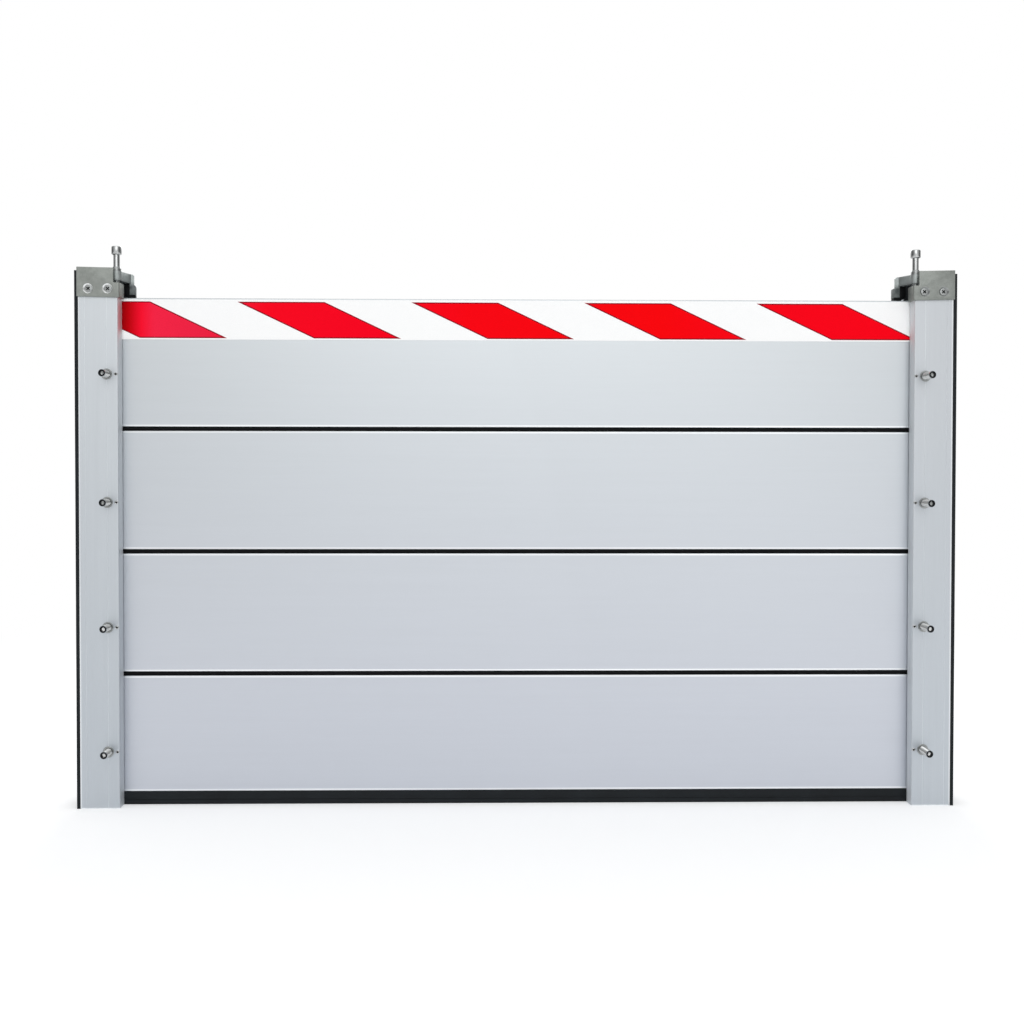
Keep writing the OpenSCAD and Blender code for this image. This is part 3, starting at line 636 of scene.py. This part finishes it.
groove = add_node(thread, "ShaderNodeMapRange", {"Value": flank, "From Min": THREAD_ROOT,
                                                "From Max": THREAD_CREST, "To Min": 1.0, "To Max": 0.0})
print("a thread is full deep over", THREAD_ROOT, "of its pitch")

# %% [markdown]
# The groove alone would also cut into the socket and the tip. So its depth is multiplied by three
# masks: one that is 1 only on the outside of the blank, one that fades in over the first pitch, and
# one that fades out over the last. A minus sign turns the push away from the axis into one towards it.

# %% Cut
OUTSIDE = 0.98

far = add_node(thread, "ShaderNodeMath", {0: given["Radius"], 1: OUTSIDE}, operation="MULTIPLY").outputs[0]
reach = add_node(thread, "ShaderNodeVectorMath", {0: flat}, operation="LENGTH").outputs["Value"]
outside = add_node(thread, "ShaderNodeMath", {0: reach, 1: far}, operation="GREATER_THAN").outputs[0]
factors = [given["Depth"], -1.0, outside]
for end, operation in (("Start", "ADD"), ("End", "SUBTRACT")):
    full = add_node(thread, "ShaderNodeMath", {0: given[end], 1: given["Pitch"]}, operation=operation)
    fade = add_node(thread, "ShaderNodeMapRange", {"Value": axes["Z"], "From Min": given[end],
                                                  "From Max": full.outputs[0]})
    factors.append(fade.outputs[0])
depth = groove.outputs[0]
for factor in factors:
    depth = add_node(thread, "ShaderNodeMath", {0: depth, 1: factor}, operation="MULTIPLY").outputs[0]
outwards = add_node(thread, "ShaderNodeVectorMath", {0: flat}, operation="NORMALIZE").outputs[0]
push = add_node(thread, "ShaderNodeVectorMath", {0: outwards, "Scale": depth}, operation="SCALE").outputs[0]
cut = add_node(thread, "GeometryNodeSetPosition", {"Geometry": given["Geometry"], "Offset": push})
end_tree(thread, cut.outputs[0], given["Material"])

# %% [markdown]
# ## Baking and finishing a piece
#
# A tree is a recipe, and the pieces need its plain result. So the tree runs once on its blank, the
# evaluated mesh is kept, and the object with the modifier is thrown away. After that come the steps
# that most pieces share: smooth shading up to the sharp edges, a second finish on chosen faces, and
# the calls that say which body the piece rides on and which imported solids it stands for.

# %% Bake
def kept_result(worked):
    """Keeps an object's mesh as its modifiers leave it, and throws the object away."""
    graph = bpy.context.evaluated_depsgraph_get()
    result = bpy.data.meshes.new_from_object(worked.evaluated_get(graph))
    bpy.data.objects.remove(worked)
    return result


def bake(name, mesh, tree, values):
    """Runs a geometry tree on a mesh, with values by input name, and returns the plain result."""
    worked = add_object(name, mesh)
    modifier = worked.modifiers.new("work", "NODES")
    modifier.node_group = tree
    for socket in tree.interface.items_tree:
        if socket.in_out == "INPUT" and socket.name in values:
            modifier[socket.identifier] = values[socket.name]
    result = kept_result(worked)
    result.name = name
    return result


print("trees to bake:", [tree.name for tree in bpy.data.node_groups])


# %% Finish a piece
SHARP = 35


def smooth(mesh, degrees=SHARP):
    """Shades a mesh smooth, but for edges sharper than an angle."""
    mesh.polygons.foreach_set("use_smooth", [True] * len(mesh.polygons))
    mesh.set_sharp_from_angle(angle=math.radians(degrees))
    return mesh


def second_finish(mesh, material, chosen):
    """Gives the faces that a test picks, by their middle in mm, another material."""
    mesh.materials.append(material)
    for face in mesh.polygons:
        if chosen(face.center / MM):
            face.material_index = len(mesh.materials) - 1


def from_nearest(centre, places):
    """How far, in mm and across Y, a face's middle is from the nearest of some places in metres."""
    return min(math.hypot(centre.x - place[0] / MM, centre.z - place[2] / MM) for place in places)


def add_piece(name, mesh, body, replaced):
    """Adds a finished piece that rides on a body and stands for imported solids."""
    piece = add_object(name, mesh)
    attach(piece, body)
    if replaced:
        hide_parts(*replaced)


print("edges over", SHARP, "degrees stay sharp")

# %% [markdown]
# ## Jack screws
#
# Eight M12 socket screws stand out of the channels and press the planks back on the seal. Their ends
# and the walls of their hexagon sockets are painted black, a painted dark reflection on the end and
# painted shade in the socket, so a black ring surrounds the bottom of each socket. That bottom gets a
# painted highlight in the two lower screws on each side and is duller in the two upper ones. One blank
# is turned for each, with the length of its imported solid, threaded, laid down and pushed into place.

# %% Jack screws
JACK_RADIUS, JACK_PITCH, JACK_DEPTH, JACK_AROUND = 6.0, 1.75, 0.95, 36
JACK_CHAMFER, JACK_TIP, JACK_END = 1.0, 4.9, 5.5
JACK_FACE, THREAD_START, THREAD_STOP = 0.8, 1.2, 1.0
SOCKET_RADIUS, SOCKET_DEPTH, SOCKET_CONE = 3.46, 5.0, 1.0
# The black end and socket walls of each jack screw are painted dark reflection and shade.
BLACK_END, BLACK_WALL, SOCKET_ZONE = 0.3, 0.1, 20
BRIGHT_ROWS = (1, 2)


def jack_blank(node, length):
    """The unthreaded screw along Z, with its socket at the upper end."""
    top = length - JACK_FACE
    floor_height = length - SOCKET_DEPTH
    rings = [(0, 0, ROUND), (JACK_TIP, 0, ROUND), (JACK_RADIUS, JACK_CHAMFER, ROUND)]
    rings += thread_rings(JACK_RADIUS, THREAD_START, length - THREAD_STOP, JACK_PITCH)
    rings += [(JACK_RADIUS, top, ROUND), (JACK_END, length, ROUND), (SOCKET_RADIUS, length, HEXAGON),
              (SOCKET_RADIUS, floor_height, HEXAGON), (0, floor_height - SOCKET_CONE, ROUND)]
    return turned_blank(node + "_blank", rings, JACK_AROUND)


def jack_screw(node, socket_floor):
    """An M12 screw with a hexagon socket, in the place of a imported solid."""
    low, high = (Vector(corner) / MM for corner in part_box(node))
    length = high.y - low.y
    floor_height = length - SOCKET_DEPTH
    mesh = bake(node + "_threaded", jack_blank(node, length), thread, {
        "Radius": JACK_RADIUS * MM, "Pitch": JACK_PITCH * MM, "Depth": JACK_DEPTH * MM,
        "Start": THREAD_START * MM, "End": (length - THREAD_STOP) * MM, "Material": bright_steel})
    # Painted dark reflection on the end, painted shade on the socket walls.
    second_finish(mesh, shade_steel, lambda c: c.z > length - BLACK_END or (
        c.z > floor_height + BLACK_WALL and math.hypot(c.x, c.y) < SOCKET_RADIUS))
    # The socket floor: a painted highlight in the lower rows, the worn finish in the upper ones.
    second_finish(mesh, socket_floor, lambda c: (
        length - SOCKET_ZONE < c.z < floor_height and math.hypot(c.x, c.y) < SOCKET_RADIUS))
    middle = (low + high) / 2
    place = Matrix.Translation((middle.x * MM, high.y * MM, middle.z * MM))
    mesh.transform(place @ Matrix.Rotation(math.pi / 2, 4, "X"))
    return smooth(mesh)


for side in SIDES:
    for row in ROWS:
        node = "%s_jack_screw_%d" % (side, row)
        # The lower rows get the painted highlight on their socket floors.
        screw = jack_screw(node, highlight_steel if row in BRIGHT_ROWS else worn_steel)
        add_piece(node + "_cut", screw, "%s_jack_%d" % (side, row), [node])
        print("cut", node, "with", len(screw.polygons), "faces")

# %% [markdown]
# ## Clamp bolts
#
# The hold-down clamps hang on two M10 cap screws. Such a screw is threaded only at its lower end, so
# its shank above the claw is plain, and its head has a small chamfer round the top and a socket.

# %% Clamp bolts
BOLT_RADIUS, BOLT_PITCH, BOLT_DEPTH, BOLT_THREAD = 5.0, 1.5, 0.8, 30.0
BOLT_TIP, BOLT_CHAMFER, HEAD_HEIGHT, BOLT_SOCKET = 4.0, 1.0, 13.5, 4.62

# Heights of the head's foot from the shank's end, and of its top from the bolt's top.
HEAD_FOOT = [(BOLT_RADIUS, 0, ROUND), (7.0, 0.6, ROUND), (7.7, 1.0, ROUND), (8.0, 1.7, ROUND)]
HEAD_TOP = [(8.0, -1.3, ROUND), (7.8, -0.6, ROUND), (7.2, 0, ROUND), (BOLT_SOCKET + 0.4, 0, ROUND),
            (BOLT_SOCKET, -0.3, HEXAGON), (BOLT_SOCKET, -6, HEXAGON), (0, -7.5, ROUND)]


def raised(rings, height):
    """The same rings, higher up."""
    return [(radius, level + height, corners) for radius, level, corners in rings]


def bolt_blank(node, length):
    """The unthreaded bolt along Z, with its head and socket at the upper end."""
    rings = [(0, 0, ROUND), (BOLT_TIP, 0, ROUND), (BOLT_RADIUS, BOLT_CHAMFER, ROUND)]
    rings += thread_rings(BOLT_RADIUS, THREAD_START, BOLT_THREAD, BOLT_PITCH)
    rings += raised(HEAD_FOOT, length - HEAD_HEIGHT) + raised(HEAD_TOP, length)
    return turned_blank(node + "_blank", rings)


def clamp_bolt(node):
    """An M10 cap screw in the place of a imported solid."""
    low, high = (Vector(corner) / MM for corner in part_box(node))
    mesh = bake(node + "_threaded", bolt_blank(node, high.z - low.z), thread, {
        "Radius": BOLT_RADIUS * MM, "Pitch": BOLT_PITCH * MM, "Depth": BOLT_DEPTH * MM,
        "Start": THREAD_START * MM, "End": BOLT_THREAD * MM, "Material": bright_steel})
    middle = (low + high) / 2
    mesh.transform(Matrix.Translation((middle.x * MM, middle.y * MM, low.z * MM)))
    return smooth(mesh)


for side in SIDES:
    node = side + "_clamp_bolt"
    bolt = clamp_bolt(node)
    add_piece(node + "_cut", bolt, side + "_clamp_screw", [node])
    print("cut", node, "with", len(bolt.polygons), "faces")

# %% [markdown]
# ## Setting out what repeats
#
# Threaded inserts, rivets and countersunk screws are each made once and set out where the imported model
# has them. A mesh that is nothing but points says where, a tree puts one part on each point and turns
# all of them to the front, and the result is one plain mesh.

# %% Set out
set_out, given = geometry_tree("set_out_on_points", {
    "Part": "Object", "Lean": "Float", "Material": "Material"})
part = add_node(set_out, "GeometryNodeObjectInfo", {"Object": given["Part"]}).outputs["Geometry"]
lean = add_node(set_out, "ShaderNodeCombineXYZ", {"X": given["Lean"]}).outputs[0]
placed = add_node(set_out, "GeometryNodeInstanceOnPoints",
                  {"Points": given["Geometry"], "Instance": part, "Rotation": lean}).outputs[0]
end_tree(set_out, placed, given["Material"])


def set_out_parts(name, blank, points, material):
    """Sets a part that was made along Z out on points, facing the front."""
    places = bpy.data.meshes.new(name + "_places")
    places.from_pydata(points, [], [])
    part = add_object(name + "_part", blank)
    mesh = bake(name, places, set_out, {"Part": part, "Lean": math.pi / 2, "Material": material})
    bpy.data.objects.remove(part)
    print("set out", len(points), name)
    return mesh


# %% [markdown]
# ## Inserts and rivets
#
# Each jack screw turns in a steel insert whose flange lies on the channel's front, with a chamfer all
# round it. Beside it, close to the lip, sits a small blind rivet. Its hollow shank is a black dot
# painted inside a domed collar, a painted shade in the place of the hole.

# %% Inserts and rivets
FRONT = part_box("left_channel")[0][1]
INSERT_RINGS = [(6.2, -3, ROUND), (6.2, 0.8, ROUND), (6.6, 1.2, ROUND), (8.4, 1.2, ROUND),
                (9.0, 0.7, ROUND), (9.0, -0.2, ROUND), (7.2, -0.2, ROUND), (7.2, -3, ROUND),
                (6.2, -3, ROUND)]
RIVET_RINGS = [(0, 0.1, ROUND), (1.6, 0.1, ROUND), (1.7, 0.6, ROUND), (2.1, 0.8, ROUND),
               (2.7, 0.5, ROUND), (3.1, -0.2, ROUND), (0, -0.4, ROUND)]
RIVET_AROUND, RIVET_HOLE, RIVET_TO_LIP = 24, 1.75, 3.6 * MM

jack_places = []
rivet_places = []
for side in SIDES:
    channel_low, channel_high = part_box(side + "_channel")
    rivet_x = channel_high[0] - RIVET_TO_LIP if side == "left" else channel_low[0] + RIVET_TO_LIP
    for row in ROWS:
        low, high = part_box("%s_jack_screw_%d" % (side, row))
        jack_places.append(((low[0] + high[0]) / 2, FRONT, (low[2] + high[2]) / 2))
        rivet_places.append((rivet_x, FRONT, (low[2] + high[2]) / 2))

inserts = set_out_parts("threaded_inserts", turned_blank("insert", INSERT_RINGS), jack_places, worn_steel)
add_piece("threaded_inserts", smooth(inserts), "frame", ["left_inserts", "right_inserts"])

rivets = set_out_parts("lip_rivets", turned_blank("rivet", RIVET_RINGS, RIVET_AROUND), rivet_places,
                       bright_steel)
# The middle of each rivet is painted black, a painted shade for its hollow shank.
second_finish(rivets, shade_steel, lambda c: from_nearest(c, rivet_places) < RIVET_HOLE)
add_piece("lip_rivets", smooth(rivets), "frame", [])

# %% [markdown]
# ## Countersunk screws
#
# Two screws hold each bracket. Their heads sit a little deeper than the plate's face, so a ring of the
# countersink shows round them, which carries a painted highlight on the left. The cross recess narrows
# towards its bottom, and a boolean cut with such a tapered cross gives it the same flanks as the real
# punch. Its inside is painted black, a painted shade.

# %% Cross punch
CROSS_LONG, CROSS_WIDE, CROSS_DEEP, CROSS_ABOVE = 3.6, 0.95, 2.6, 0.5
TAPER_LONG, TAPER_WIDE = 0.55, 0.7


def cross_outline(long, wide, height):
    """The twelve corners of a cross, turned by 45 degrees, in metres."""
    corners = []
    for quarter in range(4):
        angle = math.pi / 4 + quarter * math.pi / 2
        for x, y in ((long, -wide), (long, wide), (wide, wide)):
            corners.append(((x * math.cos(angle) - y * math.sin(angle)) * MM,
                            (x * math.sin(angle) + y * math.cos(angle)) * MM, height * MM))
    return corners


def cross_punch():
    """A tapered cross that ends CROSS_DEEP below the face of a screw."""
    top = cross_outline(CROSS_LONG, CROSS_WIDE, CROSS_ABOVE)
    bottom = cross_outline(CROSS_LONG * TAPER_LONG, CROSS_WIDE * TAPER_WIDE, -CROSS_DEEP)
    count = len(top)
    caps = [tuple(range(count - 1, -1, -1)), tuple(range(count, 2 * count))]
    walls = [(k, (k + 1) % count, count + (k + 1) % count, count + k) for k in range(count)]
    mesh = bpy.data.meshes.new("cross_punch")
    mesh.from_pydata(bottom + top, [], caps + walls)
    return add_object("cross_punch", mesh)


print("the cross is", 2 * CROSS_LONG, "mm long")

# %% Countersunk screws
SCREW_RINGS = [(0, -8, ROUND), (2.9, -8, ROUND), (3.0, -3.1, ROUND), (5.9, -0.35, ROUND),
               (5.8, -0.1, ROUND), (5.5, 0, ROUND), (0, 0, ROUND)]
SCREW_SINK, CROSS_BLACK = 1.7 * MM, 0.05


def countersunk_screw():
    """A countersunk screw with a cross recess, along Z with its face at 0."""
    blank = add_object("screw_blank", turned_blank("screw_blank", SCREW_RINGS))
    punch = cross_punch()
    stroke = blank.modifiers.new("stroke", "BOOLEAN")
    stroke.operation = "DIFFERENCE"
    stroke.solver = "EXACT"
    stroke.object = punch
    mesh = kept_result(blank)
    bpy.data.objects.remove(punch)
    return mesh


screw_places = []
for side in SIDES:
    low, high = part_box(side + "_bracket_screws")
    head = (high[2] - low[2]) / 2
    screw_places += [(x, low[1] + SCREW_SINK, (low[2] + high[2]) / 2)
                     for x in (low[0] + head, high[0] - head)]
screw_face = screw_places[0][1] / MM
screws = set_out_parts("bracket_screws_cut", countersunk_screw(), screw_places, worn_steel)
# The inside of each cross recess is painted black, a painted shade.
second_finish(screws, shade_steel, lambda c: (
    from_nearest(c, screw_places) < CROSS_LONG and c.y > screw_face + CROSS_BLACK))
add_piece("bracket_screws_cut", smooth(screws), "frame",
          ["left_bracket_screws", "right_bracket_screws"])

# %% [markdown]
# ## Brackets, claws and their rubber
#
# The imported solids of these pieces have the right shape but knife edges, which real plate and castings
# never have. A copy of each solid is merged, its flat faces are joined again, and a bevel as wide as
# the real round takes the edges off. Plate gets a wide one in a darker steel, which paints the shade
# and dark reflection along its edges, the casting a narrower one, the rubber the narrowest. The
# countersinks of the plate get a painted highlight on the left and the worn finish on the right.

# %% Softened solids
FLAT_ANGLE, EDGE_ANGLE, SOFT_SHARP = 1, 40, 30
PLATE_ROUND, CAST_ROUND, PAD_ROUND = 1.2, 0.9, 0.6
PLATE_SEGMENTS, SOFT_SEGMENTS = 2, 3
SINK_RADIUS, SINK_DEPTH = 7.95, 1


def merged_bmesh(mesh):
    """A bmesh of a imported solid's loose triangles, with its flat faces joined again."""
    bm = bmesh.new()
    bm.from_mesh(mesh)
    bmesh.ops.remove_doubles(bm, verts=bm.verts, dist=MERGE)
    bmesh.ops.dissolve_limit(bm, angle_limit=math.radians(FLAT_ANGLE), verts=bm.verts, edges=bm.edges)
    return bm


def softened(node, width_mm, material, segments=SOFT_SEGMENTS, edge=None):
    """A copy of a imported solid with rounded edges, which may have a finish of their own."""
    mesh = NODES[node].data.copy()
    bm = merged_bmesh(mesh)
    bm.to_mesh(mesh)
    bm.free()
    mesh.materials.clear()
    for finish in (material, edge):
        if finish:
            mesh.materials.append(finish)
    worked = add_object(node + "_worked", mesh)
    bevel = worked.modifiers.new("round", "BEVEL")
    bevel.width = width_mm * MM
    bevel.segments = segments
    bevel.limit_method = "ANGLE"
    bevel.angle_limit = math.radians(EDGE_ANGLE)
    bevel.miter_outer = "MITER_ARC"
    bevel.material = 1 if edge else -1
    return smooth(kept_result(worked), SOFT_SHARP)


print("rounds of", PLATE_ROUND, CAST_ROUND, "and", PAD_ROUND, "mm")


# %% Clamps
for side in SIDES:
    # The bracket's bevels take the dark steel, a painted shade along its edges.
    bracket = softened(side + "_bracket", PLATE_ROUND, tumbled_steel, PLATE_SEGMENTS, edge_shade_steel)
    own_places = [place for place in screw_places if (place[0] < MIDDLE.x) == (side == "left")]
    # The countersinks: a painted highlight on the left, the worn finish on the right.
    second_finish(bracket, highlight_steel if side == "left" else worn_steel, lambda c: (
        c.y < FRONT / MM + SINK_DEPTH and from_nearest(c, own_places) < SINK_RADIUS))
    add_piece(side + "_bracket_soft", bracket, "frame", [side + "_bracket"])
    add_piece(side + "_claw_soft", softened(side + "_claw", CAST_ROUND, cast_steel),
              side + "_claw_arm", [side + "_claw"])
    # The pads get the deeper black that paints the shade under the claws.
    add_piece(side + "_claw_pad_soft", softened(side + "_claw_pad", PAD_ROUND, shade_rubber),
              side + "_claw_arm", [side + "_claw_pad"])
    print(side, "bracket", len(bracket.polygons), "faces")

# %% [markdown]
# ## Hazard stripes
#
# The red stripes are printed on the film. Wet ink creeps to the edge of a print and dries darker there,
# so each stripe gets a rim of its own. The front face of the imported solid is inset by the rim's width,
# and the faces that the inset leaves outside take the darker ink.

# %% Hazard stripes
INK_RIM = 1.9

stripes = NODES["hazard_stripes"].data.copy()
bm = merged_bmesh(stripes)
bm.normal_update()
printed = [face for face in bm.faces if face.normal.y < -0.5]
rims = bmesh.ops.inset_individual(bm, faces=printed, thickness=INK_RIM * MM, use_even_offset=True)["faces"]
for face in bm.faces:
    face.material_index = 0
for face in rims:
    face.material_index = 1
stripes.materials.clear()
stripes.materials.append(red_film)
stripes.materials.append(ink_edge)
print(len(printed), "stripes with", len(rims), "rim faces")
bm.to_mesh(stripes)
bm.free()
add_piece("hazard_stripes_printed", stripes, "frame", ["hazard_stripes"])

# %% [markdown]
# ## World
#
# The background is plain white, but only for the rays that the camera, shiny surfaces and glass send.
# What lights the bay is a calmer, grey world and soft lamps. To the sides, the world that metal
# mirrors falls off to grey, as a studio's walls do, which draws dark edges on anything round.

# %% World
WORLD_LIGHT = 0.81
SIDE_GREY = 0.88

world = bpy.data.worlds.new("studio")
bpy.context.scene.world = world
world.use_nodes = True
tree = world.node_tree
tree.nodes.clear()
direction = add_node(tree, "ShaderNodeTexCoord").outputs["Generated"]
sideways = add_node(tree, "ShaderNodeSeparateXYZ", {"Vector": direction}).outputs["X"]
fall = add_node(tree, "ShaderNodeMath", {0: sideways, 1: sideways}, operation="MULTIPLY").outputs[0]
mirrored = add_node(tree, "ShaderNodeMapRange", {"Value": fall, "To Min": 1.0, "To Max": 1 - SIDE_GREY})
rays = add_node(tree, "ShaderNodeLightPath").outputs
lit = add_node(tree, "ShaderNodeMix",
               {"Factor": rays["Is Glossy Ray"], "A": WORLD_LIGHT, "B": mirrored.outputs[0]})
seen = add_node(tree, "ShaderNodeMath", {0: rays["Is Camera Ray"], 1: rays["Is Transmission Ray"]},
                operation="MAXIMUM")
level = add_node(tree, "ShaderNodeMix", {"Factor": seen.outputs[0], "A": lit.outputs[0], "B": 1.0})
background = add_node(tree, "ShaderNodeBackground",
                      {"Color": linear("#ffffff"), "Strength": level.outputs[0]})
add_node(tree, "ShaderNodeOutputWorld", {"Surface": background.outputs[0]})
print("world lights at", WORLD_LIGHT)

# %% [markdown]
# ## Floor
#
# The bay stands on pale paint. The paint takes the shadow of the bay, but alone it would look grey, so
# an emission that only the camera and mirroring surfaces see lifts it. Further out the floor fades to
# plain white, and no edge shows where it meets the background.

# %% Floor
FLOOR_SIZE = 16.0
FLOOR_LIFT = 0.30
FADE_START, FADE_END = 1.0, 2.6

floor_mesh = bpy.data.meshes.new("floor")
floor_corners = [(MIDDLE.x + x * FLOOR_SIZE / 2, MIDDLE.y + y * FLOOR_SIZE / 2, LOW.z)
                 for x, y in ((-1, -1), (1, -1), (1, 1), (-1, 1))]
floor_mesh.from_pydata(floor_corners, [], [(0, 1, 2, 3)])
add_object("floor", floor_mesh)
print("floor", FLOOR_SIZE, "m square at", round(LOW.z, 4))

# %% Floor paint
floor_paint, tree, place = new_material("pale_floor_paint")
paint = add_node(tree, "ShaderNodeBsdfDiffuse", {"Color": linear("#e6e7e8")}).outputs[0]
lift = add_node(tree, "ShaderNodeEmission", {"Color": linear("#ffffff"), "Strength": FLOOR_LIFT})
lifted = add_node(tree, "ShaderNodeAddShader", {0: paint, 1: lift.outputs[0]}).outputs[0]
white = add_node(tree, "ShaderNodeEmission", {"Color": linear("#ffffff"), "Strength": 1.0}).outputs[0]
distance = add_node(tree, "ShaderNodeVectorMath", {0: place, 1: (MIDDLE.x, MIDDLE.y, LOW.z)},
                    operation="DISTANCE").outputs["Value"]
faded = add_node(tree, "ShaderNodeMapRange",
                 {"Value": distance, "From Min": FADE_START, "From Max": FADE_END},
                 interpolation_type="SMOOTHSTEP").outputs[0]
shown = add_node(tree, "ShaderNodeMixShader", {0: faded, 1: lifted, 2: white}).outputs[0]
rays = add_node(tree, "ShaderNodeLightPath").outputs
seen = rays["Is Camera Ray"]
for ray in ("Is Glossy Ray", "Is Transmission Ray"):
    seen = add_node(tree, "ShaderNodeMath", {0: seen, 1: rays[ray]}, operation="MAXIMUM").outputs[0]
finish_material(tree, add_node(tree, "ShaderNodeMixShader", {0: seen, 1: paint, 2: shown}))
floor_mesh.materials.append(floor_paint)
print("floor fades to white from", FADE_START, "to", FADE_END, "m")

# %% [markdown]
# ## Lamps
#
# Three soft boxes face the middle of the bay. A big one in front, above and just right of the middle
# gives the planks their sheen and the screws their soft shadow. A small weak one further right, at half
# the bay's height, lights what the first leaves dark, and one behind lights the bay's back and tops.

# %% Lamps
def soft_lamp(name, place, size, watts):
    """A square area lamp that faces the middle of the bay."""
    lamp = bpy.data.lights.new(name, "AREA")
    lamp.size = size
    lamp.energy = watts
    holder = add_object(name, lamp)
    holder.location = place
    holder.rotation_euler = (MIDDLE - Vector(place)).to_track_quat("-Z", "Y").to_euler()
    print(name, size, "m", watts, "W")


soft_lamp("front_softbox", (0.85, -2.6, 2.3), 2.6, 25)
soft_lamp("side_softbox", (1.95, -2.6, 0.45), 1.0, 1.3)
soft_lamp("rear_softbox", (0.71, 2.4, 2.4), 2.0, 35)

# %% [markdown]
# ## View
#
# The Standard view shows a colour about as it was written.

# %% Settings
bpy.context.scene.view_settings.view_transform = "Standard"
